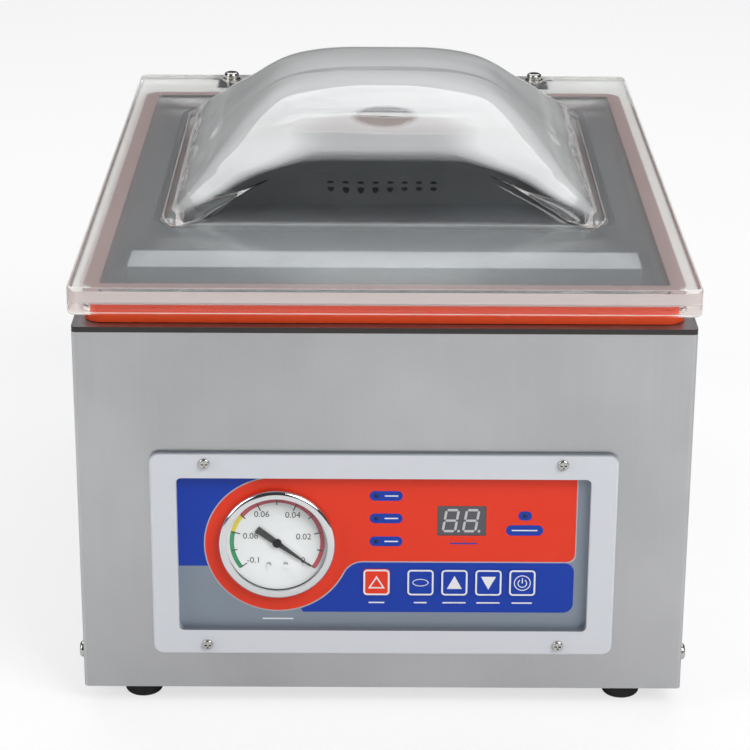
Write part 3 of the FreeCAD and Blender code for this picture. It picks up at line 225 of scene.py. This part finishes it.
def inner_painted_shade(mat, color):
    """Painted shade: a second, darker colour on the faces of a ring that look inwards or up."""
    from_above = add(mat, "ShaderNodeVectorMath", operation="SUBTRACT")
    from_above.inputs[1].default_value = (0, 0, 1)
    outwards = add(mat, "ShaderNodeVectorMath", operation="DOT_PRODUCT")
    link(mat, place_on(mat), from_above.inputs[0])
    link(mat, from_above.outputs["Vector"], outwards.inputs[0])
    link(mat, face_normal(mat), outwards.inputs[1])
    second_color(mat, spread(mat, outwards.outputs["Value"], -0.02, 0.02, 1, 0), color)


def moulded(name, color, roughness=0.5, grain=900, strength=0.15):
    mat = shader(name, color)
    vary_roughness(mat, texture(mat, grain / 4, 2), roughness - 0.06, roughness + 0.06)
    bump(mat, texture(mat, grain, 2), strength, 0.00004)
    return mat


def clear(name, color, ior=1.49, roughness=0.0, haze=0.0):
    """Clear plastic or glass that lets lamps through to what is behind it."""
    mat = shader(name, color, roughness, Transmission_Weight=1.0 - haze, IOR=ior)
    path = add(mat, "ShaderNodeLightPath")
    through = add(mat, "ShaderNodeBsdfTransparent")
    through.inputs["Color"].default_value = (0.96, 0.97, 0.97, 1)
    mix_shaders(mat, path.outputs["Is Shadow Ray"], surface_of(mat).outputs["BSDF"], through.outputs["BSDF"])
    return mat


def away_from(mat, place_y, half_x, half_y):
    """How far a point is from a spot on the lid's middle line, seen from above, in the spot's own sizes."""
    near = add(mat, "ShaderNodeMapping", vector_type="TEXTURE")
    near.inputs["Location"].default_value = (0, place_y, 0)
    near.inputs["Scale"].default_value = (half_x, half_y, 1)
    flat = add(mat, "ShaderNodeVectorMath", operation="MULTIPLY")
    flat.inputs[1].default_value = (1, 1, 0)
    distance = add(mat, "ShaderNodeVectorMath", operation="LENGTH")
    link(mat, place_on(mat), near.inputs["Vector"])
    link(mat, near.outputs["Vector"], flat.inputs[0])
    link(mat, flat.outputs["Vector"], distance.inputs[0])
    return distance.outputs["Value"]


def dome_painted_reflection(mat, most, spots):
    """Painted reflection: make blown plastic milky white on its top and sides, standing in for the bright room
    reflected in it, but clear near the plate and in some spots.
    """
    smooth_normal = add(mat, "ShaderNodeTexCoord").outputs["Normal"]
    frontward = compute(mat, "ABSOLUTE", part_of(mat, smooth_normal, "Y"))
    streaks = texture(mat, 11, 2, (0.5, 1.6, 1.6), 0.4)
    shares = [spread(mat, part_of(mat, place_on(mat), "Z"), LID_TOP, LID_TOP + 14 * MM),
              spread(mat, streaks, 0.3, 0.62, 0.78, 1)]
    for place_y, half_x, half_y, rest in spots:
        shares.append(spread(mat, away_from(mat, place_y, half_x, half_y), 0.8, 1.15, rest, 1))
    painted_milk = spread(mat, frontward, 0.42, 0.62, most, 0)
    for share in shares:
        painted_milk = compute(mat, "MULTIPLY", painted_milk, share)
    link(mat, spread(mat, painted_milk, 0, 1, 1, 0), surface_of(mat).inputs["Transmission Weight"])
    bump(mat, texture(mat, 16, 1, (0.6, 1.4, 1.4)), 0.22, 0.004)


def milky_painted_reflection_above(mat, clear_level, milky_level):
    """Painted reflection: let plastic turn from clear to milky between two heights over the lid's underside,
    standing in for the white glint on the rim's upper half.
    """
    height = part_of(mat, place_on(mat), "Z")
    clearness = spread(mat, height, lid_low.z + clear_level, lid_low.z + milky_level, 1, 0.1)
    link(mat, clearness, surface_of(mat).inputs["Transmission Weight"])


def paint(name, color, roughness=0.35, coat=0.0):
    mat = shader(name, color, roughness, Coat_Weight=coat, Specular_IOR_Level=0.3)
    vary_roughness(mat, texture(mat, 300, 2), roughness - 0.015, roughness + 0.02)
    bump(mat, texture(mat, 700, 2), 0.03, 0.00004)
    return mat


GRAIN_X, GRAIN_Z, NO_GRAIN = (0.01, 1, 1), (1, 1, 0.01), (1, 1, 1)
steel_case = brushed("steel_case", "#bcbdbf", "#cbccce", GRAIN_Z)
steel_deck = brushed("steel_deck", "#8b8c8f", "#9c9da0", GRAIN_X)
# the deck's upright edges go darker: partly the cut steel's own colour, partly painted shade for the seam under
# the deck
cut_edges_and_seam_shade(steel_deck, "#4c4a49")
steel_tub = brushed("steel_tub", "#8c8d8f", "#a0a1a3", GRAIN_X, (0.28, 0.4))
zinc = brushed("zinc", "#a9abad", "#c0c2c4", NO_GRAIN, (0.3, 0.5))
screw_steel = brushed("screw_steel", "#bdbdb8", "#d6d6d2", NO_GRAIN, (0.14, 0.26), 0.05)
# The upper seal bar: white on top as its own paint; the grey on its front and sides is a painted reflection of
# the dark chamber.
bar_cover_painted_reflection = paint("bar_cover_painted_reflection", "#8b8f93", 0.4)
top_color(bar_cover_painted_reflection, "#fafbfc")
aluminium = brushed("aluminium", "#c4c6c8", "#d6d8da", GRAIN_X, (0.3, 0.45))
rubber = moulded("rubber", "#141414", 0.62, 700, 0.3)
gasket_orange = moulded("gasket_orange", "#d8430f", 0.4, 500, 0.1)
# painted shade on the gasket's inward and upward faces, under the lid
inner_painted_shade(gasket_orange, "#7d6b67")
strip_grey = moulded("strip_grey", "#c6c6c4", 0.5)
bezel_white_painted_top_shade = paint("bezel_white_painted_top_shade", "#dcdfe5", 0.34)
# painted shade: the bezel's faces that look up are darkened to a grey
top_color(bezel_white_painted_top_shade, "#70747c")
overlay_grey = paint("overlay_grey", "#8894a1", 0.3, 0.3)
print_orange = paint("print_orange", "#f03a1c", 0.34, 0.08)
print_blue = paint("print_blue", "#083cae", 0.34, 0.08)
print_line = paint("print_line", "#b9b7bd", 0.35, 0.3)
print_white = paint("print_white", "#f2f3f5", 0.35)
chrome = shader("chrome", "#e6e7e8", 0.09, 1.0)
vary_roughness(chrome, texture(chrome, 60, 3), 0.06, 0.14)
acrylic = clear("acrylic", "#f4f6f6")
satin_edge = clear("satin_edge", "#efefed", roughness=0.4, haze=0.75)
milled_floor = clear("milled_floor", "#a5908e", roughness=0.5, haze=0.92)
milled_wall = clear("milled_wall", "#ffe6dc", roughness=0.08)
blown_acrylic = clear("blown_acrylic", "#eef0f1")
# The dome's milky white is a painted reflection; the clear spot and streak keep part of it off, and their last
# number is how much is left.
CLEAR_SPOT = (FRONT + 160 * MM, 18 * MM, 8 * MM, 0.1)      # place, half width, half depth, what milk is left
CLEAR_STREAK = (FRONT + 226 * MM, 72 * MM, 5 * MM, 0.62)
dome_painted_reflection(blown_acrylic, 0.84, (CLEAR_SPOT, CLEAR_STREAK))
hazed_under = clear("hazed_under", "#9b9da0", roughness=0.14, haze=0.26)
plate_top = clear("plate_top", "#f4f6f6", roughness=0.2)
# the front rim faces go milky above a height: a painted reflection for the white glint on their upper half
front_edge = clear("front_edge", "#dccfcc", roughness=0.12)
milky_painted_reflection_above(front_edge, 6.4 * MM, 7.6 * MM)
gauge_clear = clear("gauge_clear", "#ffffff", 1.45)
dial_white = paint("dial_white", "#f3f5f5", 0.4)
dial_black = paint("dial_black", "#1c1d20", 0.45)
arc_red = paint("arc_red", "#cf4456", 0.4)
arc_green = paint("arc_green", "#149a5f", 0.4)
arc_yellow = paint("arc_yellow", "#f0dc3c", 0.4)
brass = brushed("brass", "#b08a4a", "#c9a463", NO_GRAIN, (0.22, 0.34))
dark_plastic = moulded("dark_plastic", "#1a1b1c", 0.42)
# painted shade for the dark inside the grille's holes
hole_painted_shade = moulded("hole_painted_shade", "#0c0c0d", 0.7)
nylon = moulded("nylon", "#e6e4dc", 0.5)
display_window = paint("display_window", "#5b5c62", 0.22, 0.2)
segment_grey = paint("segment_grey", "#c9c9cc", 0.35)
lamp_dark = paint("lamp_dark", "#1b2f63", 0.2)
copper_brown = moulded("copper_brown", "#6b4a2d", 0.5)
board_green = paint("board_green", "#1d5a34", 0.4)
motor_blue = paint("motor_blue", "#3c444e", 0.45)
cast_grey = moulded("cast_grey", "#8a8c8f", 0.55, 300, 0.5)
iron_dark = moulded("iron_dark", "#4a3d35", 0.6, 300, 0.5)

NODE_LOOKS = {
    steel_case: ("outer_casing", "rear_panel"),
    steel_deck: ("chamber_deck",),
    steel_tub: ("chamber_tub", "suction_grille"),
    zinc: ("base_pan", "hinge_leaves", "hinge_brackets", "gauge_case"),
    screw_steel: ("foot_bolts", "side_screws", "bezel_screws", "lid_bolts", "lid_washers", "lid_nuts",
                  "hinge_pins", "lift_posts", "pump_rotor", "heater_wire"),
    bar_cover_painted_reflection: ("upper_seal_bar",),
    aluminium: ("seal_bar", "valve_manifold", "lift_cylinders"),
    rubber: ("rubber_feet", "suction_hose"),
    gasket_orange: ("lid_gasket",),
    strip_grey: ("silicone_strip",),
    bezel_white_painted_top_shade: ("panel_bezel",),
    overlay_grey: ("control_overlay",),
    print_orange: ("warning_key",),
    print_blue: ("set_key", "up_key", "down_key", "power_key"),
    chrome: ("gauge_ring",),
    acrylic: ("lid",),
    gauge_clear: ("gauge_glass",),
    dial_white: ("gauge_dial",),
    dial_black: ("gauge_pointer",),
    brass: ("gauge_movement",),
    dark_plastic: ("key_switches", "switch_housing", "power_inlet", "lid_switch", "rocker_switch",
                   "solenoid_coils", "motor_fan"),
    nylon: ("board_spacers", "lid_switch_plunger"),
    display_window: ("display_module",),
    lamp_dark: ("indicator_lamps",),
    copper_brown: ("ptfe_tape",),
    board_green: ("control_board",),
    motor_blue: ("pump_motor", "exhaust_filter"),
    cast_grey: ("vacuum_pump",),
    iron_dark: ("transformer",),
}
for look, names in NODE_LOOKS.items():
    for name in names:
        mesh = nodes[name].data
        mesh.materials.clear()
        mesh.materials.append(look)


# -------------------------------------------------------------------- mesh helpers
def piece(name, mesh, look, body):
    obj = bpy.data.objects.new(name, mesh)
    bpy.context.scene.collection.objects.link(obj)
    mesh.materials.append(look)
    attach(obj, body)
    return obj


def arc(x, y, radius, start, end, steps=12):
    """Points round a centre, from one angle to another in degrees."""
    turn = (end - start) / steps
    angles = [math.radians(start + turn * i) for i in range(steps + 1)]
    return [(x + radius * math.cos(a), y + radius * math.sin(a)) for a in angles]


def rounded(x0, y0, x1, y1, radius, steps=8):
    """A rectangle with rounded corners."""
    corners = ((x1 - radius, y0 + radius, -90), (x1 - radius, y1 - radius, 0),
               (x0 + radius, y1 - radius, 90), (x0 + radius, y0 + radius, 180))
    points = []
    for x, y, start in corners:
        points += arc(x, y, radius, start, start + 90, steps)
    return points


def slab(name, outlines, y, thick, look, body):
    """Flat shapes in the X-Z plane, with holes where one outline lies in another, as thin solids."""
    curve = bpy.data.curves.new(name, "CURVE")
    curve.dimensions = "2D"
    curve.fill_mode = "BOTH"
    curve.extrude = thick / 2
    for outline in outlines:
        spline = curve.splines.new("POLY")
        spline.points.add(len(outline) - 1)
        for point, (px, pz) in zip(spline.points, outline):
            point.co = (px, pz, 0, 1)
        spline.use_cyclic_u = True
    return from_curve(name, curve, (0, y - thick / 2, 0), look, body)


def from_curve(name, curve, place, look, body):
    """A piece from a flat curve, stood up to look to the front at its place."""
    temporary = bpy.data.objects.new(name + "_curve", curve)
    mesh = bpy.data.meshes.new_from_object(temporary)
    bpy.data.objects.remove(temporary)
    bpy.data.curves.remove(curve)
    x, y, z = place
    mesh.transform(Matrix(((1, 0, 0, x), (0, 0, -1, y), (0, 1, 0, z), (0, 0, 0, 1))))
    mesh.name = name
    return piece(name, mesh, look, body)


def printed_number(name, text, size, place, look, body):
    """A number printed flat on a face that looks to the front, centred on its place."""
    curve = bpy.data.curves.new(name, "FONT")
    curve.body = text
    curve.size = size
    curve.align_x, curve.align_y = "CENTER", "CENTER"
    curve.extrude = 0.02 * MM
    return from_curve(name, curve, place, look, body)


# ------------------------------------------------------------------ clear lid
DOME_SIZE = (248 * MM, 258 * MM)
DOME_MIDDLE = Vector((0, FRONT + 240 * MM))
# Rings of the dome, from the plate to the crown: inset of the ends from the base outline, height over
# the plate, corner radius, further inset of the sides.
DOME_OUTSIDE = (
    (-7, 0, 21, 0), (-6, 0, 20, 0), (-3, 0.3, 17, 0), (-0.5, 1.6, 15, 0), (1.5, 5, 15, 3), (4, 10, 18, 6),
    (8, 18, 28, 11), (13, 26.5, 40, 14), (20, 33, 47, 14), (32, 40.5, 49, 10), (45, 48, 44, 6),
    (60, 55, 38, 2), (78, 59.5, 30, 0), (96, 61.5, 20, 0), (112, 62, 8, 0),
)
DOME_INSIDE = (
    (0.5, -14.88, 13, 1), (1, -14.7, 13, 1), (1.8, -13.6, 13, 1.5), (2.6, -11, 13, 2.5), (4.5, -3, 14, 5),
    (8, 5, 18, 8), (12.5, 14, 27, 12), (17.5, 22.3, 37, 14), (24, 28.4, 43, 14), (35, 35.3, 46, 10),
    (48, 42.9, 42, 6), (62.5, 49.8, 36, 2), (80, 54.2, 28, 0), (97, 56.2, 19, 0), (112, 56.7, 8, 0),
)
GASKET_CORNER, GASKET_THICK = 10 * MM, 8 * MM
BAR_GAP = 0.12 * MM                     # the plate's underside stays this clear of the bar's top
RING_ARC, RING_SIDE = 12, 8


def ring(middle, half_x, half_y, radius, z):
    """A rounded rectangle as a loop of points that start and turn alike at every size."""
    turns = []
    for side_x, side_y, start in ((1, 1, 0), (-1, 1, 90), (-1, -1, 180), (1, -1, 270)):
        center = (middle.x + side_x * (half_x - radius), middle.y + side_y * (half_y - radius))
        turns.append([Vector(point) for point in arc(*center, radius, start, start + 90, RING_ARC)])
    points = []
    for turn, following in zip(turns, turns[1:] + turns[:1]):
        points += turn
        points += [turn[-1].lerp(following[0], i / RING_SIDE) for i in range(1, RING_SIDE)]
    return [point.to_3d() + Vector((0, 0, z)) for point in points]


def middle_and_halves(low, high):
    return (low + high) / 2, (high.x - low.x) / 2, (high.y - low.y) / 2


def spline(rows, steps):
    """Catmull-Rom points through rows of numbers."""
    rows = [rows[0], *rows, rows[-1]]
    made = []
    for a, b, c, d in zip(rows, rows[1:], rows[2:], rows[3:]):
        for step in range(steps):
            t = step / steps
            made.append([0.5 * (2 * q + (r - p) * t + (2 * p - 5 * q + 4 * r - s) * t * t
                                + (3 * q - p - 3 * r + s) * t ** 3) for p, q, r, s in zip(a, b, c, d)])
    made.append(list(rows[-1]))
    return made


def dome_rings(profile):
    rings = []
    for inset, height, radius, side in spline(profile, 4):
        half_x, half_y = DOME_SIZE[0] / 2 - (inset + side) * MM, DOME_SIZE[1] / 2 - inset * MM
        rings.append(ring(DOME_MIDDLE, half_x, half_y, radius * MM, LID_TOP + height * MM))
    return rings


def rim_rings():
    """The plate's outer edge, rounded above and below, between two rings that keep its faces flat."""
    middle, half_x, half_y = middle_and_halves(lid_low, lid_high)
    edge, corner, flat = 1.6 * MM, 6 * MM, 0.4 * MM

    def rim_ring(inset, z):
        return ring(middle, half_x - inset, half_y - inset, corner - inset, z)

    rings = [rim_ring(edge + flat, LID_TOP)]
    for start, level in ((90, LID_TOP - edge), (0, lid_low.z + edge)):
        for step in range(5):
            angle = math.radians(start - 90 * step / 4)
            rings.append(rim_ring(edge * (1 - math.cos(angle)), level + edge * math.sin(angle)))
    return rings + [rim_ring(edge + flat, lid_low.z)]


def groove_rings():
    """The groove that the gasket sits in, from its outer lip to its inner one."""
    middle, half_x, half_y = middle_and_halves(gasket_low, gasket_high)
    play, deep = 0.12 * MM, 4.1 * MM
    inner = GASKET_THICK + play
    return [ring(middle, half_x - inset, half_y - inset, GASKET_CORNER - inset, lid_low.z + rise)
            for inset, rise in ((-play, 0), (-play, deep), (inner, deep), (inner, BAR_GAP))]


def clear_lid():
    """The lid as one closed clear solid: dome, plate, rounded rim, gasket groove and the dome's hollow."""
    outside, rim, groove, inside = dome_rings(DOME_OUTSIDE), rim_rings(), groove_rings(), dome_rings(DOME_INSIDE)
    loops = list(reversed(outside)) + rim + groove + inside
    plate = len(outside) - 1                # the strips of faces, by the loop that each one starts from
    rim_side = plate + 6
    wall = len(outside) + len(rim)
    looks = {plate: plate_top, rim_side: satin_edge, wall - 1: satin_edge, wall: milled_wall,
             wall + 1: milled_floor, wall + 2: milled_wall, wall + 3: hazed_under}
    looks.update({strip: blown_acrylic for strip in range(plate)})
    slots = [acrylic, blown_acrylic, satin_edge, milled_floor, milled_wall, hazed_under, front_edge, plate_top]
    mesh = bmesh.new()
    made = [[mesh.verts.new(point) for point in loop] for loop in loops]
    for strip, (upper, lower) in enumerate(zip(made, made[1:])):
        for i, point in enumerate(upper):
            after = (i + 1) % len(upper)
            face = mesh.faces.new((point, upper[after], lower[after], lower[i]))
            look = looks.get(strip, acrylic)
            if strip == rim_side and face.calc_center_median().y < lid_low.y + 4 * MM:
                look = front_edge
            face.material_index = slots.index(look)
    mesh.faces.new(made[0]).material_index = slots.index(blown_acrylic)
    mesh.faces.new(list(reversed(made[-1])))
    bmesh.ops.recalc_face_normals(mesh, faces=mesh.faces)
    data = bpy.data.meshes.new("clear_lid")
    mesh.to_mesh(data)
    mesh.free()
    lid = piece("clear_lid", data, slots[0], "lid")
    for look in slots[1:]:
        data.materials.append(look)
    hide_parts("lid")
    sharp_edges(lid, 50)


def sharp_edges(obj, angle):
    for poly in obj.data.polygons:
        poly.use_smooth = True
    obj.data.set_sharp_from_angle(angle=math.radians(angle))


clear_lid()


# ----------------------------------------------------------------- printed panel
LAYER = 0.05 * MM


def at(x, z):
    """A place on the panel, from millimetres right of the middle and above the casing's lower edge."""
    return x * MM, FOOT + z * MM


def outline(points):
    return [at(x, z) for x, z in points]


def panel_layer(name, outlines, level, look):
    return slab(name, [outline(o) for o in outlines], PANEL_Y - level * LAYER, LAYER, look, "casing")


WINDOW = (-111.3, 111.3, 36.0, 125.8)     # left, right, low, high
DISC_X, DISC_Z, DISC_R = -57.4, 85.5, 39.3
UNDER_DISC_R = 37                         # the blue fields end under the orange disc
FIELD_RIGHT, FIELD_LOW = 104.2, 75.8
KEY_FIELD_LOW, KEY_FIELD_HIGH = 45.2, 75.1
STATE_ROWS = (114.5, 101.3, 87.7)         # the three state lamps
KEY_Z = 63.4


def orange_field(grow):
    """The orange field: a disc round the gauge that flows into a band to the right."""
    radius = DISC_R + grow
    low = FIELD_LOW - grow
    blend = 12 - grow
    drop = DISC_Z - low + blend
    blend_x = DISC_X + math.sqrt((radius + blend) ** 2 - drop ** 2)
    meet = -math.degrees(math.asin(drop / (radius + blend)))
    high = WINDOW[3]
    start = math.degrees(math.asin(min(1, (high - DISC_Z) / radius)))
    points = arc(DISC_X, DISC_Z, radius, 180 - start, 360 + meet, 60)
    points += arc(blend_x, low - blend, blend, 180 + meet, 90, 12)
    corner = 4.6
    right = FIELD_RIGHT + grow
    points += arc(right - corner, low + corner, corner, -90, 0, 8)
    return points + [(right, high)]


def hole_for(name):
    """The outline of a node as the panel's print sees it."""
    low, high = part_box(name)
    x0, x1, z0, z1 = (v / MM for v in (low.x, high.x, low.z - FOOT, high.z - FOOT))
    return [(x0, z0), (x1, z0), (x1, z1), (x0, z1)]


def printed_fields():
    """The panel's coloured fields, lamp pills, and plain dashes where the words would stand."""
    left, _, _, high = WINDOW
    left_side = arc(DISC_X, DISC_Z, UNDER_DISC_R, 200.4, 90, 30)
    panel_layer("print_blue_left", [[(left, 72.6), *left_side, (DISC_X, high), (left, high)]], 0, print_blue)
    under_side = arc(DISC_X, DISC_Z, UNDER_DISC_R, -16.3, -72, 20)
    key_side = rounded(DISC_X, KEY_FIELD_LOW, 104, KEY_FIELD_HIGH, 5.5)[:18]
    panel_layer("print_blue_keys", [[*key_side, *under_side, (-44, KEY_FIELD_LOW)]], 0, print_blue)
    holes = [arc(GAUGE_X / MM, (GAUGE_Z - FOOT) / MM, 30.7, 0, 360, 72)[:-1], hole_for("display_module")]
    panel_layer("print_outline", [orange_field(0.7), *holes], 1, print_line)
    panel_layer("print_orange_field", [orange_field(0), *holes], 2, print_orange)
    pills = [rounded(-7.5, z - 2.85, 10.4, z + 2.85, 2.8) for z in STATE_ROWS]
    pills += [rounded(66.4, 91.4, 86.6, 97.6, 3.05), rounded(72.9, 100.4, 80.3, 105.8, 2.65)]
    panel_layer("print_pills", pills, 3, print_blue)
    dashes = [rounded(0.6, z - 0.35, 8, z + 0.35, 0.3) for z in STATE_ROWS]
    dashes += [rounded(69.5, 94.15, 83.5, 94.85, 0.3)]
    panel_layer("print_pill_dashes", dashes, 4, print_white)
    widths = {-3.6: 4.4, 20.4: 3.6, 38.9: 6.4, 57.5: 6.4, 76: 5.6}
    panel_layer("print_key_dashes", [rounded(x - w, 50.6, x + w, 51.4, 0.35) for x, w in widths.items()], 1,
                print_white)
    panel_layer("print_gauge_dash", [rounded(-66, 40.6, -49, 41.4, 0.35)], 1, print_white)
    panel_layer("print_time_dash", [rounded(36, 86.2, 51, 87, 0.35)], 3, print_blue)


def frame_outline(x, z, half_w, half_h, radius, line):
    """The outer and inner edge of a frame with rounded corners."""
    return [rounded(x - half_w, z - half_h, x + half_w, z + half_h, radius),
            rounded(x - half_w + line, z - half_h + line, x + half_w - line, z + half_h - line, radius - line)]


def ellipse(x, z, rx, rz, steps=40):
    return [(x + rx * math.cos(2 * math.pi * i / steps), z + rz * math.sin(2 * math.pi * i / steps))
            for i in range(steps)]


def band(x, z, radius, line, start, end, steps=30):
    """Part of a ring."""
    return arc(x, z, radius, start, end, steps) + arc(x, z, radius - line, end, start, steps)


def triangle(x, z, half, up=1):
    return [(x - half, z - up * half * 0.95), (x + half, z - up * half * 0.95), (x, z + up * half * 0.95)]


def key_marks():
    """White frames and plain signs on the keys."""
    marks = {
        "warning_key": [[(0.0, 4.0), (-4.6, -3.6), (4.6, -3.6)], [(0.0, 2.5), (-3.2, -2.8), (3.2, -2.8)]],
        "set_key": [ellipse(0, 0, 4.4, 2.2), ellipse(0, 0, 3.95, 1.8)],
        "up_key": [triangle(0, 0.2, 4.1)],
        "down_key": [triangle(0, -0.2, 4.1, -1)],
        "power_key": [arc(0, 0, 4.6, 0, 360, 48)[:-1], arc(0, 0, 4.1, 0, 360, 48)[:-1],
                      band(0, -0.2, 2.6, 0.5, 125, 415), rounded(-0.28, -0.2, 0.28, 3.0, 0.2)],
    }
    for name, shapes in marks.items():
        low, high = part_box(name)
        x = (low.x + high.x) / 2 / MM
        moved = frame_outline(x, KEY_Z, 7.15, 7.65, 2.2, 0.95)
        moved += [[(px + x, pz + KEY_Z) for px, pz in shape] for shape in shapes]
        mark = slab(name + "_marks", [outline(o) for o in moved], low.y, LAYER, print_white, name)
        mark.parent = frame["bodies"][name]


def segment(low, high, half):
    """A bar with pointed ends, along its first axis."""
    tip, shoulder = 0.35, 0.95
    return [(low + tip, 0), (low + shoulder, half), (high - shoulder, half),
            (high - tip, 0), (high - shoulder, -half), (low + shoulder, -half)]


def digits():
    """Two unlit seven-segment figures with their points, leaning to the right."""
    low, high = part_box("display_module")
    middle = (low + high) / 2
    half_w, half_h, half_line = 3.3, 6.2, 0.675
    lean = math.tan(math.radians(9))
    shapes = []
    for cx in (-5.9, 5.1):
        for z in (-half_h, 0, half_h):
            shapes.append([(cx + along, z + across) for along, across in segment(-half_w, half_w, half_line)])
        for x in (-half_w, half_w):
            for start, end in ((-half_h, 0), (0, half_h)):
                shapes.append([(cx + x + across, along) for along, across in segment(start, end, half_line)])
        shapes.append(arc(cx + half_w + 2.0, -half_h, 0.75, 0, 360, 12)[:-1])
    placed = [[(middle.x + (x + z * lean) * MM, middle.z + z * MM) for x, z in shape] for shape in shapes]
    slab("display_segments", placed, low.y, LAYER, segment_grey, "casing")


def dial_print():
    """Coloured arcs, ticks and numbers on the gauge's dial."""
    def dial_layer(name, shapes, level, look):
        placed = [[(GAUGE_X + x * MM, GAUGE_Z + z * MM) for x, z in shape] for shape in shapes]
        return slab(name, placed, DIAL_Y - level * LAYER, LAYER, look, "casing")

    first, last = -37, 217                # the scale's two ends, in degrees
    yellow, green = 141, 165              # where these colours start
    dial_layer("dial_arc_red", [band(0, 0, 25.8, 2.4, first, yellow, 60)], 0, arc_red)
    dial_layer("dial_arc_yellow", [band(0, 0, 25.8, 2.4, yellow, green)], 0, arc_yellow)
    dial_layer("dial_arc_green", [band(0, 0, 25.8, 2.4, green, last)], 0, arc_green)
    ticks = []
    for tick in range(11):
        angle = math.radians(first + tick * (last - first) / 10)
        along = Vector((math.cos(angle), math.sin(angle)))
        across = Vector((-math.sin(angle), math.cos(angle))) * 0.31
        inner, outer = along * (20.6 if tick % 2 == 0 else 22.0), along * 25.2
        ticks.append([tuple(end) for end in (inner - across, outer - across, outer + across, inner + across)])
    dial_layer("dial_ticks", ticks, 1, dial_black)
    dial_layer("dial_screws", [arc(x, -13, 1.3, 0, 345) for x in (-4.6, 4.6)], 1, zinc)
    numbers = (("0", 14.0, -10.8), ("0.02", 14.4, 3.2), ("0.04", 8.6, 16.0), ("0.06", -8.2, 16.4),
               ("0.08", -14.4, 3.5), ("-0.1", -12.8, -10.8))
    for count, (text, x, z) in enumerate(numbers):
        place = (GAUGE_X + x * MM, DIAL_Y - LAYER, GAUGE_Z + z * MM)
        printed_number(f"dial_number_{count}", text, 4.9 * MM, place, dial_black, "casing")


def grille_holes():
    """Painted shade: dark discs for the dark that shows through the suction grille's two rows of holes."""
    low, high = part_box("suction_grille")
    middle_z = (low.z + high.z) / 2
    pitch, radius = 10 * MM, 2.4 * MM
    holes = [arc((column - 3.5) * pitch, middle_z + (row - 0.5) * pitch, radius, 0, 337.5, 15)
             for column in range(8) for row in range(2)]
    slab("grille_holes", holes, low.y + 0.4 * MM, LAYER, hole_painted_shade, "casing")


printed_fields()
key_marks()
digits()
dial_print()
grille_holes()


# ------------------------------------------------------------------------- stage
def studio():
    """A pale floor and an even white world that darkens a little to the front."""
    world = bpy.data.worlds.new("studio")
    bpy.context.scene.world = world
    world.use_nodes = True
    toward_back = part_of(world, add(world, "ShaderNodeTexCoord").outputs["Generated"], "Y")
    white = add(world, "ShaderNodeMix", data_type="FLOAT")
    white.inputs["B"].default_value = 1.0
    link(world, add(world, "ShaderNodeLightPath").outputs["Is Camera Ray"], white.inputs["Factor"])
    link(world, spread(world, toward_back, -1, 0.4, 0.9, 1.0), white.inputs["A"])
    link(world, white.outputs["Result"], world.node_tree.nodes["Background"].inputs["Strength"])

    bpy.ops.mesh.primitive_plane_add(size=14, location=(0, 0, 0))
    floor = bpy.context.object
    floor.name = "floor"
    pale = shader("floor_pale", "#f4f4f4", 0.6)
    glow = add(pale, "ShaderNodeEmission")
    glow.inputs["Strength"].default_value = 1.12
    share = add(pale, "ShaderNodeMath", operation="MULTIPLY")
    share.inputs[1].default_value = 0.62
    link(pale, add(pale, "ShaderNodeLightPath").outputs["Is Camera Ray"], share.inputs[0])
    mix_shaders(pale, share.outputs["Value"], surface_of(pale).outputs["BSDF"], glow.outputs["Emission"])
    floor.data.materials.append(pale)


def lamp(name, place, aim, size, power):
    """A soft rectangular lamp that looks at a point."""
    data = bpy.data.lights.new(name, "AREA")
    data.shape = "RECTANGLE"
    data.size, data.size_y = size
    data.energy = power
    obj = bpy.data.objects.new(name, data)
    obj.location = place
    obj.rotation_euler = (Vector(aim) - Vector(place)).to_track_quat("-Z", "Y").to_euler()
    bpy.context.scene.collection.objects.link(obj)


def camera():
    """The camera: 1.26 m in front of the casing, looking down about 21 degrees."""
    data = bpy.data.cameras.new("camera")
    data.sensor_width = 36
    data.lens = 122.0
    obj = bpy.data.objects.new("camera", data)
    pitch, roll, yaw = (math.radians(a) for a in (20.62, 0.29, 0.074))
    forward = Vector((math.sin(yaw) * math.cos(pitch), math.cos(yaw) * math.cos(pitch), -math.sin(pitch)))
    right = forward.cross(Vector((0, 0, 1))).normalized()
    up = right.cross(forward)
    rolled = right * math.cos(roll) + up * math.sin(roll)
    upper = up * math.cos(roll) - right * math.sin(roll)
    turn = Matrix((rolled, upper, -forward)).transposed().to_4x4()
    obj.matrix_world = Matrix.Translation((-6.6 * MM, FRONT - 1257.1 * MM, FOOT + 657.8 * MM)) @ turn
    bpy.context.scene.collection.objects.link(obj)
    bpy.context.scene.camera = obj


studio()
lamp("key", (1.3, -1.6, 1.8), (0, 0, 0.15), (1.6, 1.6), 46)
lamp("fill", (-1.8, -0.9, 1.2), (0, 0, 0.15), (1.2, 1.6), 16)
lamp("back", (0.0, 1.3, 2.3), (0, 0, 0.2), (3.2, 2.2), 40)
camera()
bpy.context.scene.view_settings.view_transform = "Standard"
